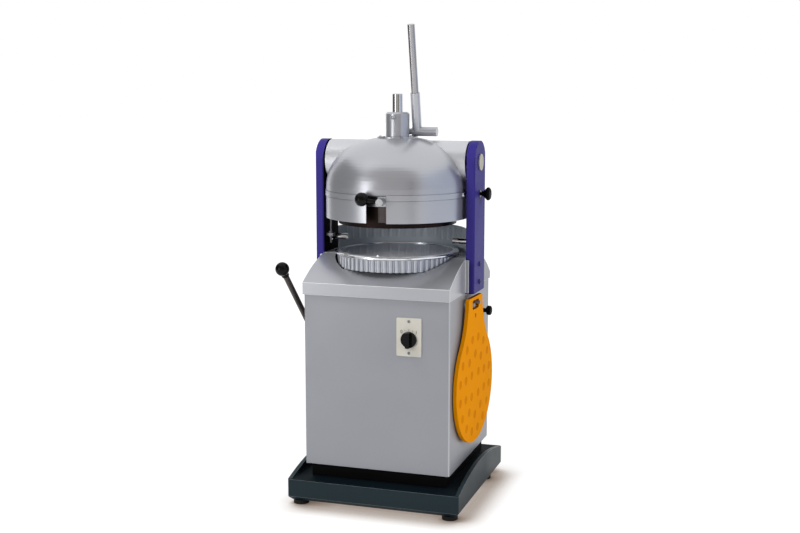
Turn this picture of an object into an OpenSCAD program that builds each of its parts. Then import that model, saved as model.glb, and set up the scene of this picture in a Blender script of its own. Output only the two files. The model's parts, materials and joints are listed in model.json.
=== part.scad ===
// Divider rounder: a floor-standing bakery machine that presses, divides and rounds dough.
// Millimetres, +Z up, front towards -Y, origin on the floor below the middle of the base.

/* [Base] */
// How far the base stands out beside the cabinet
base_side_margin = 50; // [40:1:70]
// How far the base stands out in front of the cabinet
base_front_margin = 58; // [45:1:75]
// How far the base stands out behind the cabinet
base_rear_margin = 36; // [28:1:60]
// Height of the plinth walls above the feet
base_h = 78; // [60:1:100]
// Slope height along the bottom edge of the plinth
base_chamfer = 15; // [6:1:24]
// Wall and deck thickness of the plinth
plinth_t = 8; // [5:1:12]
// Rise of the arched side cheeks above the deck
cheek_rise = 44; // [20:1:60]
// Thickness of each side cheek
cheek_t = 14; // [8:1:24]
// Height of each levelling foot
foot_h = 15; // [8:1:30]
// Radius of each levelling foot
foot_r = 28; // [18:1:34]

/* [Cabinet] */
// Width of the cabinet, left to right
cabinet_w = 540; // [524:1:560]
// Depth of the cabinet, front to back
cabinet_d = 548; // [530:1:580]
// Height of the cabinet from toe kick to cover
cabinet_h = 622; // [560:1:700]
// Thickness of the cabinet and cover sheet
sheet_t = 3; // [2:0.5:4]
// Height of the black toe kick under the cabinet
toe_h = 49; // [30:1:70]
// Inset of the toe kick from the cabinet walls
toe_inset = 18; // [10:1:30]

/* [Top cover] */
// Height of the upright lip at the cover's front
lip_h = 43; // [30:1:60]
// Rise of the cover's arched top above the lip
cover_rise = 81; // [70:1:95]
// Overhang of the cover in front of the cabinet
cover_front_over = 10; // [4:1:20]
// Overhang of the cover behind the cabinet
cover_rear_over = 19; // [8:1:30]
// Bulge of the cover's sloping top above a straight line
cover_bulge = 9; // [4:1:14]

/* [Uprights] */
// Thickness of each upright, left to right
upright_t = 32; // [26:1:40]
// Depth of each upright, front to back
upright_d = 153; // [140:1:170]
// Place of the uprights' middle, front to back
upright_y = 12; // [4:1:20]
// Height of the head's pivot above the cover's crest
pivot_rise = 339; // [325:1:360]
// Radius of each pivot pin
pivot_r = 20; // [14:0.5:24]
// Radius of the round cap over each pivot
pivot_cap_r = 30; // [28:1:40]

/* [Head] */
// Gap between the head's skirt and each upright
head_gap = 10; // [8:0.5:14]
// Distance of the head's axis in front of the pivot
head_offset = 28; // [20:1:36]
// Depth of the pivot below the dome's flat top
pivot_drop = 83; // [76:1:92]
// Height of the skirt's plain lower wall
skirt_h = 77; // [60:1:90]
// Height of the raised band round the head
band_h = 23; // [18:1:30]
// Height of the dome above the band
dome_h = 184; // [170:1:200]
// Width of the dome's flat left round the boss flange
dome_flat_margin = 7; // [4:0.5:12]
// Wall thickness of the dome and skirt
head_t = 6; // [4:0.5:8]
// Radius of the round barrels that carry the head between the uprights
barrel_r = 75; // [60:1:76]
// Width of the notch in the front of the skirt
notch_w = 73; // [66:1:84]

/* [Press] */
// Radius of the upright boss on the dome
boss_r = 43; // [38:1:44]
// Height of the boss above the dome
boss_h = 93; // [80:1:110]
// Radius of the chrome press rod
rod_r = 19; // [16:0.5:21]
// Length of rod that stands out of the boss
rod_over = 66; // [40:1:80]
// Module of the rack and pinion
gear_module = 2.5; // [2:0.25:2.75]
// Number of teeth on the pinion
pinion_teeth = 16; // [14:1:17]
// Length of the press lever from its axis to its end
lever_len = 386; // [300:1:420]
// Forward lean of the press lever at rest
lever_lean = 11.6; // [0:0.1:14]
// Radius of the press lever's tube
tube_r = 13; // [10:0.5:14]
// Gap between the dough chamber ring and the skirt
chamber_gap = 39; // [34:0.5:50]
// Thickness of the knives
knife_t = 3; // [2:0.5:4]
// Depth of the dough chamber ring
chamber_h = 75; // [70:1:80]

/* [Rounding table] */
// How far the ring's rim stands inside the skirt
rim_inset = 34; // [32:0.5:42]
// Height of the ring's rim above the cover's crest
rim_rise = 17; // [14:1:24]
// Height of the ring from scalloped edge to rim top
ring_h = 55; // [48:1:58]
// Number of flutes round the ring
flute_count = 60; // [40:1:80]
// Radius of the table's circling motion
orbit_r = 8; // [4:0.5:8]

/* [Controls] */
// Width of the switch plate
switch_w = 91; // [80:1:110]
// Height of the switch plate
switch_h = 136; // [110:1:160]
// Radius of the rotary switch knob
switch_r = 28.5; // [22:0.5:34]
// Radius of the ball on the rounding lever
ball_r = 25; // [18:0.5:30]
// Radius of the rounding lever's rod
lever_rod_r = 10.5; // [8:0.5:12]
// Length of the rounding lever from pivot to ball
hand_lever_len = 536; // [440:1:560]
// Forward lean of the rounding lever at rest
hand_lever_lean = 38.7; // [20:0.1:45]

/* [Moulding plate] */
// Radius of the moulding plate
plate_r = 214; // [200:1:220]
// Thickness of the moulding plate
plate_t = 13; // [10:0.5:16]
// Width of the moulding plate's handle
handle_w = 160; // [140:1:176]
// Height of the plate's handle above its disc centre
handle_top = 324; // [310:1:340]

/* [Hidden] */
$fn = 64;
// Sides of thin round walls
fine_sides = 256;
// One overrun serves every cut
over = 2;
// Running clearance of shafts and rods, on the radius
run_gap = 0.05;
// Clear gap between bodies that move past each other
move_gap = 0.5;

// Base under the cabinet
base_w = cabinet_w + 2 * base_side_margin;
base_d = cabinet_d + base_front_margin + base_rear_margin;
cabinet_y = (base_front_margin - base_rear_margin) / 2;

// Places up the machine
deck_z = foot_h + base_h;
cab_z0 = deck_z + toe_h;
cab_z1 = cab_z0 + cabinet_h;
lip_z = cab_z1 + lip_h;
crest_z = lip_z + cover_rise;
pivot_z = crest_z + pivot_rise;
dome_top = pivot_z + pivot_drop;
dome_z = dome_top - dome_h;
band_z = dome_z - band_h;
skirt_z = band_z - skirt_h;
boss_top = dome_top + boss_h;
rim_z = crest_z + rim_rise;
ring_z = rim_z - ring_h;

// Places across and along the machine
cab_x = cabinet_w / 2;
cab_in = cab_x - sheet_t;
cab_front = cabinet_y - cabinet_d / 2;
cab_rear = cabinet_y + cabinet_d / 2;
cover_side_over = 2;
cover_x = cab_x + cover_side_over;
cover_front = cab_front - cover_front_over;
cover_rear = cab_rear + cover_rear_over;
upright_x = cab_x + upright_t;
upright_front = upright_y - upright_d / 2;
upright_rear = upright_y + upright_d / 2;
axis_y = upright_y - head_offset;
skirt_r = cab_x - head_gap;
skirt_front = axis_y - skirt_r;

// Base details
base_corner_r = 10;
foot_side_inset = 40;
foot_front_inset = 36;
foot_rear_inset = 130;
foot_post_r = 20;
foot_x = base_w / 2 - foot_side_inset;
foot_places = [foot_front_inset - base_d / 2, base_d / 2 - foot_rear_inset];
arch_steps = 16;
plinth_in = base_chamfer + plinth_t;

// Cabinet details
cabinet_corner_r = 6;
toe_wall = 4;
rear_flange = 34;
rear_panel_lap = 14;
rear_panel_t = 3;
panel_screw_r = 5;
panel_screw_h = 3;
panel_screw_edge = 8;
louvre_count = 6;
louvre_w = 220;
louvre_h = 8;
louvre_pitch = 24;
louvre_drop = 150;

// Cover details
cover_steps = 10;
cover_tail_h = 24;
cover_tail_bulge = 18;
seam_flange_w = 12;
seam_flange_t = 6;
pan_gap = 2;
pan_margin = 3;

// Upright details
upright_drop = 4;
upright_edge_r = 7;
bracket_t = 12;
bracket_inset = 14;
bolt_r = 5;
bolt_head_r = 9;
bolt_head_h = 6;
bolt_low_share = 0.25;
bolt_high_share = 0.77;
bush_wall = 6;
cap_t = 4;
pivot_grip = 22;
barrel_gap = 6;

// Stops and lock
stop_pin_r = 10.5;
stop_pin_len = 68;
stop_pin_rise = 52;
stop_pin_nose = 3;
stop_screw_r = 4;
stop_screw_tail = 26.5;
stop_bracket_w = 26;
stop_bracket_t = 10;
stop_bracket_rise = 59;
stop_nut_r = 8;
stop_nut_h = 6;
stop_inset = 13;
stop_y = axis_y - stop_inset;
stop_x = skirt_r - head_t / 2;
stop_bracket_z = crest_z + stop_bracket_rise;
lock_shift = 3;
lock_y = upright_y - lock_shift;
lock_z = band_z + band_h / 2;
lock_pin_r = 6;
lock_bush_r = 9;
lock_bush_proud = 3;
lock_bush_len = 12;
lock_socket_gap = 0.3;
lock_sleeve_r = 10;
lock_guide_r = 14;
lock_guide_h = 2;
lock_stroke = 6;
lock_knob_r = 23.5;
lock_knob_len = 30;
lock_neck_r = 10;
lock_knob_edge = 5;

// Head details
band_proud = 2;
groove_w = 2;
groove_depth = 3;
notch_x = 6;
notch_top_gap = 4;
dome_steps = 20;
dome_fullness_share = 1.15;
scale_w = 29;
scale_t = 8;
scale_line_h = 1.5;
scale_line_t = 1;
scale_count = 6;

// Dividing lever details
div_hub_r = 13;
div_pin_r = 6;
div_arm_len = 66;
div_arm_lift = 8.5;
div_arm_r = 7;
div_ball_r = 24;
div_block_t = 14;
div_block_r = 17;
div_collar_r = 10;
div_collar_t = 6;
div_x = notch_x + notch_w / 2 - div_hub_r;
div_z = band_z;
div_arm_y = skirt_front - band_proud - div_ball_r - 2 * move_gap;

// Press details
dome_open_gap = 2;
flange_land = 15;
flange_h = 5;
flange_screws = 6;
flange_screw_r = 5;
flange_screw_h = 2.5;
boss_edge = 6;
nipple_r = 5;
nipple_h = 8;
nipple_ball_r = 8;
nipple_drop = 18;
pinion_r = gear_module * pinion_teeth / 2;
pinion_half = 15;
gear_backlash = 0.5;
flank_angle = 20;
dedendum_share = 1.25;
flank_steps = 5;
rack_line = rod_r - gear_module;
pinion_y = axis_y + rack_line + pinion_r;
pinion_rise = 23;
pinion_z = dome_top + pinion_rise;
pinion_clear = 1;
pinion_wall = 4.5;
pinion_cave_r = pinion_r + gear_module + pinion_clear;
pinion_house_r = pinion_cave_r + pinion_wall;
pinion_bush_wall = 4;
pinion_side_wall = 6;
pinion_side_gap = 1;
pinion_cave_half = pinion_half + pinion_side_gap;
pinion_house_half = pinion_cave_half + pinion_side_wall;
house_chord = sqrt(max(0, pow(pinion_house_r, 2) - pow(pinion_rise, 2)));
dome_open_r = norm([pinion_house_half, pinion_y - axis_y + house_chord]) + dome_open_gap;
flange_r = dome_open_r + flange_land;
flange_screw_ring = dome_open_r + flange_land / 2;
dome_flat_r = flange_r + dome_flat_margin;
shaft_r = 11;
lever_gap = 3;
socket_r = 17;
socket_len = 142;
hub_r = 17;
hub_x0 = boss_r + lever_gap;
hub_len = 92;
lever_x = hub_x0 + socket_r;
tube_wall = 3;
tube_grip = 60;
tube_end_t = 4;
rack_up = 10;
rack_down = 3;
rod_edge = 2;

// Dividing head inside the dome
chamber_t = 9;
chamber_r = skirt_r - head_t - chamber_gap - chamber_t;
chamber_drop = 21;
chamber_z = skirt_z - chamber_drop;
carrier_t = 10;
carrier_z = chamber_z + chamber_h;
segment_lift = 7;
segment_t = 18;
segment_z = chamber_z + segment_lift;
segment_gap = 2.5;
knife_gap = 1;
knife_plate_t = 8;
knife_head_gap = 2;
knife_plate_z = carrier_z - knife_head_gap - knife_plate_t;
knife_rim_gap = 1.5;
knife_r = chamber_r - knife_rim_gap;
knife_ring_shares = [0, 0.31, 0.65, 1];
knife_spokes = [4, 10, 16];
post_r = 5;
post_gap = 1.5;
post_share = 0.5;
rod_flange_r = 60;
rod_flange_t = 12;

// Rounding table details
rim_h = 11;
rim_edge = 3;
rim_r = skirt_r - rim_inset;
rim_out = 16;
ring_r = rim_r - rim_out;
ring_wall = 6;
ring_in = ring_r - ring_wall;
flute_r = 9;
flute_sink = 1;
flute_out = ring_r - flute_sink + flute_r;
table_sink = 2;
table_t = 12;
table_edge = 2;
pointer_w = 14;
pointer_h = 9;
pointer_t = 6;
pan_r = flute_out + orbit_r + pan_margin;
table_carrier_gap = 14;
carrier_r = ring_in - table_carrier_gap;
table_carrier_t = 12;
table_z = rim_z - table_sink - table_t;
table_carrier_z = table_z - table_carrier_t;
crank_pin_r = 17;
crank_web_r = 40;
crank_web_t = 10;
crank_gap = 1;
hub_wall = 15;
hub_gap = 2;
hub_roof = 7;
guard_gap = 4;
guard_side_gap = 16;
guard_t = 4;
guard_flute_r = 12;
guard_flute_count = 26;
guard_plain = 32;
guard_rise = 90;
guard_r = cab_x - guard_side_gap - guard_t;
guard_front = upright_y + stop_pin_r + stop_pin_nose + guard_gap;

// Drive details
frame_t = 12;
frame_drop = 64;
frame_z = cab_z1 - frame_drop;
frame_front_gap = 54;
frame_rear_gap = 4;
frame_hole_r = 30;
column_r = 60;
column_foot_r = 90;
column_flange_r = 140;
column_flange_t = 14;
column_drop = 88;
column_top = crest_z - column_drop;
bearing_wall = 14;
bearing_t = 16;
column_relief = 6;
drive_shaft_r = 20;
pulley_space = 31;
pulley_t = 34;
pulley_rim_t = 22;
pulley_web_t = 12;
pulley_hub_r = 36;
pulley_drop = 40;
pulley_z = frame_z - pulley_drop - pulley_t;
groove_d = 10;
belt_h = 14;
belt_t = 9;
belt_gap = 0.5;
motor_pulley_r = 45;
motor_r = 68;
motor_h = 220;
motor_fin_count = 20;
motor_fin_r = 5;
motor_cap_h = 40;
motor_cap_lip = 3;
motor_rear_gap = 6;
motor_shaft_r = 12;
motor_drop = 46;
motor_top = pulley_z - motor_drop;
motor_plate_t = 10;
motor_plate_r = 86;
motor_y = cab_rear - sheet_t - motor_rear_gap - motor_plate_r;
pulley_r = motor_y - axis_y - motor_pulley_r - pulley_space;
motor_post_r = 7;
motor_post_ring = 78;
shaft_tail = 8;
guide_ring = 110;
guide_r = 8;
guide_web_r = 20;
guide_web_t = 8;
guide_boss_r = 18;

// Switch details
switch_x = 123;
switch_drop = 132;
switch_z = cab_z1 - switch_drop;
switch_t = 4;
switch_edge_r = 5;
switch_knob_drop = 8;
switch_knob_len = 22;
switch_skirt_t = 6;
switch_grip_w = 15;
switch_stem_r = 5;
switch_block_w = 60;
switch_block_d = 52;
switch_screw_r = 5;
switch_screw_h = 2;
switch_screw_edge = 12;

// Rounding lever details
lever_pivot_y = 26;
lever_pivot_rise = 298;
lever_pivot_z = cab_z0 + lever_pivot_rise;
lever_shaft_r = 14;
lever_hub_r = 24;
lever_hub_t = 30;
lever_side_gap = 4;
lever_side_lean = 4.7;
lever_bush_wall = 8;
lever_bush_t = 22;
lever_cam_r = 30;
lever_cam_t = 14;
lever_cam_shift = 14;
lever_cam_gap = 3;
limit_w = 30;
limit_h = 60;
limit_d = 34;
limit_gap = 6;
ball_neck_r = 14;
ball_neck_len = 16;

// Side knob details
side_knob_in = 86;
side_knob_drop = 109;
side_knob_y = cab_rear - side_knob_in;
side_knob_z = cab_z1 - side_knob_drop;
side_knob_r = 18;
side_knob_t = 18;
side_knob_edge = 4;
side_stem_r = 8;
side_stem_len = 14;
side_stem_in = 12;
side_collar_r = 12;
side_collar_t = 5;

// Moulding plate details
plate_turn = 3;
plate_stand = 3;
plate_x = cab_x + plate_stand + plate_t / 2 + plate_r * sin(plate_turn);
handle_chamfer = 8;
neck_r = 260;
grip_w = 72;
grip_h = 33;
grip_margin = 12;
grip_z = handle_top - grip_margin - grip_h / 2;
hang_hole_r = 8;
hang_hole_drop = 42;
dimple_r = 16;
dimple_depth = 3;
dimple_ring_shares = [0.26, 0.53, 0.81];
peg_r = 6;
peg_len = 46;
peg_shift = 10;
peg_drop = 37.5;
peg_z = cab_z1 - peg_drop;
plate_z = peg_z + peg_r + move_gap - grip_h / 2 - grip_z;
peg_y = axis_y - peg_shift;

silver = [0.66, 0.67, 0.69];
steel = [0.78, 0.79, 0.8];
dark_steel = [0.35, 0.36, 0.38];
indigo = [0.2, 0.17, 0.48];
slate = [0.11, 0.17, 0.2];
black = [0.03, 0.03, 0.035];
amber = [0.94, 0.6, 0.1];
ivory = [0.78, 0.76, 0.68];

// A rectangle centred on the origin with true round corners
module round_rect(w, d, r) {
    square([w - 2 * r, d], center = true);
    square([w, d - 2 * r], center = true);
    for (sx = [-1, 1], sy = [-1, 1])
        translate([sx * (w / 2 - r), sy * (d / 2 - r)])
            circle(r);
}

// A box from its two corners
module box(low, high) {
    translate(low)
        cube(high - low);
}

// A round bar along X from x0 to x1
module bar_x(x0, x1, y, z, r) {
    translate([x0, y, z])
        rotate([0, 90, 0])
            cylinder(r = r, h = x1 - x0);
}

// A round bar along Y from y0 to y1
module bar_y(x, y0, y1, z, r) {
    translate([x, y0, z])
        rotate([-90, 0, 0])
            cylinder(r = r, h = y1 - y0);
}

// A round bar up Z from z0 to z1
module bar_z(x, y, z0, z1, r) {
    translate([x, y, z0])
        cylinder(r = r, h = z1 - z0);
}

// A ring round the head's axis
module axis_ring(z0, z1, r_out, r_in) {
    difference() {
        bar_z(0, axis_y, z0, z1, r_out);
        bar_z(0, axis_y, z0 - over, z1 + over, r_in);
    }
}

// Extrudes a side view, drawn as front-to-back and up, from x0 to x1
module side_view(x0, x1) {
    translate([x0, 0, 0])
        rotate([90, 0, 90])
            linear_extrude(x1 - x0)
                children();
}

// Repeats its children on the left as well as on the right
module both_sides() {
    children();
    mirror([1, 0, 0])
        children();
}

// Points of a line from a to b that bulges to its left by h
function bulged(a, b, h, n) =
    let (d = b - a, u = [-d[1], d[0]] / norm(d))
    [for (i = [0 : n]) let (t = i / n) a + t * d + 4 * h * t * (1 - t) * u];

// Base

module plinth_block(inset) {
    linear_extrude(base_h)
        round_rect(base_w - 2 * inset, base_d - 2 * inset, base_corner_r);
}

module cheek_profile() {
    half = base_d / 2 - base_corner_r;
    polygon(concat(bulged([-half, deck_z], [half, deck_z], cheek_rise, arch_steps),
        [[half, deck_z - plinth_t], [-half, deck_z - plinth_t]]));
}

module base_plinth() {
    color(slate) {
        difference() {
            translate([0, 0, foot_h])
                intersection() {
                    plinth_block(0);
                    hull() {
                        linear_extrude(base_h)
                            square([base_w - 2 * base_chamfer, base_d - 2 * base_chamfer], center = true);
                        translate([0, 0, base_chamfer])
                            linear_extrude(base_h)
                                square([base_w, base_d], center = true);
                    }
                }
            box([plinth_in - base_w / 2, plinth_in - base_d / 2, foot_h - over],
                [base_w / 2 - plinth_in, base_d / 2 - plinth_in, deck_z - plinth_t]);
        }
        for (s = [-1, 1], y = foot_places)
            bar_z(s * foot_x, y, foot_h, deck_z - plinth_t, foot_post_r);
        both_sides()
            side_view(base_w / 2 - cheek_t, base_w / 2)
                cheek_profile();
    }
}

module levelling_feet() {
    color(black)
        for (s = [-1, 1], y = foot_places)
            bar_z(s * foot_x, y, 0, foot_h, foot_r);
}

module toe_kick() {
    w = cabinet_w - 2 * toe_inset;
    d = cabinet_d - 2 * toe_inset;
    color(black)
        translate([0, cabinet_y, deck_z])
            linear_extrude(toe_h)
                difference() {
                    square([w, d], center = true);
                    square([w - 2 * toe_wall, d - 2 * toe_wall], center = true);
                }
}

// Cabinet

module cabinet_shell() {
    color(silver)
        difference() {
            translate([0, cabinet_y, cab_z0])
                linear_extrude(cabinet_h)
                    round_rect(cabinet_w, cabinet_d, cabinet_corner_r);
            box([-cab_in, cab_front + sheet_t, cab_z0 + sheet_t],
                [cab_in, cab_rear - sheet_t, cab_z1 + over]);
            box([-cab_in + rear_flange, cabinet_y, cab_z0 + rear_flange],
                [cab_in - rear_flange, cab_rear + over, cab_z1 - rear_flange]);
            bar_y(switch_x, cab_front - over, cab_front + sheet_t + over, switch_z - switch_knob_drop,
                switch_stem_r + move_gap);
            bar_x(-cab_x - over, -cab_in + over, lever_pivot_y, lever_pivot_z, lever_shaft_r + move_gap);
            bar_x(cab_in - over, cab_x + over, side_knob_y, side_knob_z, side_stem_r + run_gap);
        }
}

panel_half = cab_in - rear_flange + rear_panel_lap;
panel_z0 = cab_z0 + rear_flange - rear_panel_lap;
panel_z1 = cab_z1 - rear_flange + rear_panel_lap;

module rear_panel() {
    color(silver)
        difference() {
            box([-panel_half, cab_rear, panel_z0], [panel_half, cab_rear + rear_panel_t, panel_z1]);
            for (i = [0 : louvre_count - 1])
                translate([-louvre_w / 2, cab_rear - over, panel_z1 - louvre_drop - i * louvre_pitch])
                    cube([louvre_w, rear_panel_t + 2 * over, louvre_h]);
        }
}

module panel_screws() {
    color(steel) {
        for (sx = [-1, 1], sz = [-1, 0, 1])
            bar_y(sx * (panel_half - panel_screw_edge), cab_rear + rear_panel_t,
                cab_rear + rear_panel_t + panel_screw_h,
                (panel_z0 + panel_z1) / 2 + sz * ((panel_z1 - panel_z0) / 2 - panel_screw_edge),
                panel_screw_r);
        for (s = [-1, 1])
            bar_y(switch_x, cab_front - switch_t - switch_screw_h, cab_front - switch_t,
                switch_z + s * (switch_h / 2 - switch_screw_edge), switch_screw_r);
    }
}

// Top cover

seam_y = upright_front - move_gap;

// Side outline of the cover, drawn in by inset, with its foot carried down by drop
module cover_profile(inset, drop) {
    front = cover_front + inset;
    rear = cover_rear - inset;
    top = crest_z - inset;
    polygon(concat(
        [[front, cab_z1 - drop]],
        bulged([front, lip_z - inset], [upright_front, top], cover_bulge, cover_steps),
        bulged([upright_rear, top], [rear, cab_z1 + cover_tail_h], cover_tail_bulge, cover_steps),
        [[rear, cab_z1 - drop]]));
}

// Hollow cover of a given half width, with the round opening for the ring
module cover_shell(half) {
    difference() {
        side_view(-half, half)
            cover_profile(0, 0);
        side_view(sheet_t - half, half - sheet_t)
            cover_profile(sheet_t, over);
        bar_z(0, axis_y, ring_z - pan_gap, crest_z + over, pan_r);
    }
}

module front_half(half) {
    box([-half - over, cover_front - over, cab_z1 - over], [half + over, seam_y, crest_z + over]);
}

module front_cover() {
    color(silver) {
        intersection() {
            cover_shell(cover_x);
            front_half(cover_x);
        }
        both_sides()
            box([cover_x - sheet_t, seam_y - seam_flange_t, cab_z1],
                [cover_x + seam_flange_w, seam_y, crest_z - seam_flange_t]);
    }
}

module rear_cover() {
    color(silver)
        difference() {
            cover_shell(cab_x);
            front_half(cab_x);
            both_sides()
                bolt_places()
                    bar_x(cab_in - over, cab_x + over, upright_y, 0, bolt_r);
        }
}

// Uprights

module bolt_places() {
    for (share = [bolt_low_share, bolt_high_share])
        translate([0, 0, cab_z1 + share * (crest_z - cab_z1)])
            children();
}

module upright_blank() {
    difference() {
        intersection() {
            side_view(cab_x, upright_x) {
                translate([upright_front, cab_z1 - upright_drop])
                    square([upright_d, pivot_z - cab_z1 + upright_drop]);
                translate([upright_y, pivot_z])
                    circle(upright_d / 2);
            }
            translate([cab_x + upright_t / 2, upright_y, cab_z1 - upright_drop])
                linear_extrude(pivot_z - cab_z1 + upright_d)
                    round_rect(upright_t, upright_d, upright_edge_r);
        }
        bar_x(cab_x - over, upright_x + over, upright_y, pivot_z, pivot_r + run_gap + bush_wall);
        bolt_places()
            bar_x(cab_x - over, upright_x + over, upright_y, 0, bolt_r);
    }
}

module left_upright() {
    color(indigo)
        mirror([1, 0, 0])
            upright_blank();
}

module right_upright() {
    color(indigo)
        difference() {
            upright_blank();
            bar_x(cab_x - over, upright_x + over, lock_y, lock_z, lock_sleeve_r);
        }
}

module upright_bolts() {
    color(steel)
        both_sides()
            bolt_places() {
                bar_x(cab_in - bracket_t, upright_x, upright_y, 0, bolt_r);
                bar_x(upright_x, upright_x + bolt_head_h, upright_y, 0, bolt_head_r);
            }
}

module pivot_bushes() {
    color("goldenrod")
        both_sides()
            difference() {
                bar_x(cab_x, upright_x, upright_y, pivot_z, pivot_r + run_gap + bush_wall);
                bar_x(cab_x - over, upright_x + over, upright_y, pivot_z, pivot_r + run_gap);
            }
}

module stop_pins() {
    z = crest_z + stop_pin_rise;
    color(steel)
        both_sides() {
            bar_x(cab_x - stop_pin_len, cab_x, upright_y, z, stop_pin_r);
            bar_x(cab_x - stop_pin_nose, cab_x, upright_y, z, stop_pin_r + stop_pin_nose);
        }
}

module head_stop() {
    color(steel) {
        box([-cab_x, stop_y - stop_bracket_w / 2, stop_bracket_z],
            [stop_bracket_w / 2 - stop_x, stop_y + stop_bracket_w / 2, stop_bracket_z + stop_bracket_t]);
        bar_z(-stop_x, stop_y, stop_bracket_z - stop_screw_tail, skirt_z - move_gap, stop_screw_r);
        translate([-stop_x, stop_y, stop_bracket_z - stop_nut_h])
            cylinder(r = stop_nut_r, h = stop_bracket_t + 2 * stop_nut_h, $fn = 6);
    }
}

module lock_guide() {
    color(dark_steel)
        difference() {
            union() {
                bar_x(cab_x, upright_x, lock_y, lock_z, lock_sleeve_r);
                bar_x(upright_x, upright_x + lock_guide_h, lock_y, lock_z, lock_guide_r);
            }
            bar_x(cab_x - over, upright_x + lock_guide_h + over, lock_y, lock_z, lock_pin_r + run_gap);
        }
}

// Switch

module switch_plate() {
    color(ivory)
        difference() {
            translate([switch_x, cab_front, switch_z])
                rotate([90, 0, 0])
                    linear_extrude(switch_t)
                        round_rect(switch_w, switch_h, switch_edge_r);
            bar_y(switch_x, cab_front - switch_t - over, cab_front + over, switch_z - switch_knob_drop,
                switch_stem_r + move_gap);
        }
}

module switch_block() {
    y0 = cab_front + sheet_t;
    z = switch_z - switch_knob_drop;
    color(black)
        difference() {
            box([switch_x - switch_block_w / 2, y0, z - switch_block_w / 2],
                [switch_x + switch_block_w / 2, y0 + switch_block_d, z + switch_block_w / 2]);
            bar_y(switch_x, y0 - over, y0 + switch_block_d / 2, z, switch_stem_r + run_gap);
        }
}

module switch_knob() {
    face = cab_front - switch_t - move_gap;
    z = switch_z - switch_knob_drop;
    color(black) {
        bar_y(switch_x, face - switch_skirt_t, face, z, switch_r);
        bar_y(switch_x, face, cab_front + sheet_t + switch_block_d / 4, z, switch_stem_r);
        intersection() {
            bar_y(switch_x, face - switch_knob_len, face - switch_skirt_t, z, switch_r - move_gap);
            box([switch_x - switch_grip_w / 2, face - switch_knob_len, z - switch_r],
                [switch_x + switch_grip_w / 2, face - switch_skirt_t, z + switch_r]);
        }
    }
}

// Drive

module drive_frame() {
    bracket_top = crest_z - cover_bulge - bracket_inset;
    color(dark_steel) {
        difference() {
            box([-cab_in, cab_front + frame_front_gap, frame_z],
                [cab_in, cab_rear - sheet_t - frame_rear_gap, frame_z + frame_t]);
            bar_z(0, axis_y, frame_z - over, frame_z + frame_t + over, frame_hole_r);
        }
        both_sides()
            difference() {
                box([cab_in - bracket_t, upright_front + bracket_inset, frame_z + frame_t],
                    [cab_in, upright_rear - bracket_inset, bracket_top]);
                bolt_places()
                    bar_x(cab_in - bracket_t - over, cab_in + over, upright_y, 0, bolt_r);
            }
    }
}

bearing_r = drive_shaft_r + bearing_wall;

module bearing_column() {
    foot = frame_z + frame_t;
    color(dark_steel)
        difference() {
            union() {
                bar_z(0, axis_y, foot, column_top, column_r);
                bar_z(0, axis_y, foot, foot + column_flange_t, column_foot_r);
                bar_z(0, axis_y, column_top - column_flange_t, column_top, column_flange_r);
            }
            bar_z(0, axis_y, foot - over, column_top + over, bearing_r - column_relief);
            bar_z(0, axis_y, foot - over, foot + bearing_t, bearing_r);
            bar_z(0, axis_y, column_top - bearing_t, column_top + over, bearing_r);
            for (s = [-1, 1])
                bar_z(s * guide_ring, axis_y, column_top - column_flange_t - over, column_top + over,
                    guide_r + run_gap);
        }
}

module column_bearings() {
    foot = frame_z + frame_t;
    color(steel) {
        axis_ring(foot, foot + bearing_t, bearing_r, drive_shaft_r + run_gap);
        axis_ring(column_top - bearing_t, column_top, bearing_r, drive_shaft_r + run_gap);
    }
}

module motor() {
    color(dark_steel)
        difference() {
            translate([0, motor_y, motor_top - motor_h]) {
                linear_extrude(motor_h) {
                    circle(motor_r);
                    for (i = [0 : motor_fin_count - 1])
                        rotate(i * 360 / motor_fin_count)
                            translate([motor_r, 0])
                                circle(motor_fin_r);
                }
                translate([0, 0, -motor_cap_h])
                    cylinder(r = motor_r + motor_fin_r + motor_cap_lip, h = motor_cap_h);
            }
            bar_z(0, motor_y, motor_top - motor_cap_h, motor_top + over, motor_shaft_r + run_gap);
        }
}

module motor_bracket() {
    color(dark_steel) {
        difference() {
            bar_z(0, motor_y, motor_top, motor_top + motor_plate_t, motor_plate_r);
            bar_z(0, motor_y, motor_top - over, motor_top + motor_plate_t + over,
                motor_shaft_r + motor_post_r);
        }
        for (a = [0, 90, 180])
            translate([0, motor_y, motor_top + motor_plate_t])
                rotate(a)
                    translate([motor_post_ring, 0, 0])
                        cylinder(r = motor_post_r, h = frame_z - motor_top - motor_plate_t);
    }
}

// A belt pulley: hub, web and grooved rim, centred on the origin
module pulley(r, rim_t, web_t, hub, bore) {
    rotate_extrude()
        difference() {
            union() {
                translate([r - rim_t, 0])
                    square([rim_t, pulley_t]);
                translate([0, (pulley_t - web_t) / 2])
                    square([r, web_t]);
                square([hub, pulley_t]);
            }
            square([bore, pulley_t]);
            translate([r - groove_d, (pulley_t - belt_h) / 2 - belt_gap])
                square([groove_d, belt_h + 2 * belt_gap]);
        }
}

module drive_pulley() {
    color(dark_steel)
        translate([0, axis_y, pulley_z])
            pulley(pulley_r, pulley_rim_t, pulley_web_t, pulley_hub_r, drive_shaft_r);
}

module motor_pulley() {
    color(dark_steel) {
        translate([0, motor_y, pulley_z])
            pulley(motor_pulley_r, groove_d, pulley_t, motor_pulley_r - groove_d, motor_shaft_r);
        bar_z(0, motor_y, motor_top - motor_cap_h / 2, pulley_z + pulley_t, motor_shaft_r);
    }
}

module belt_loop(out) {
    hull() {
        translate([0, axis_y])
            circle(pulley_r - groove_d + belt_gap + out);
        translate([0, motor_y])
            circle(motor_pulley_r - groove_d + belt_gap + out);
    }
}

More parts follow.
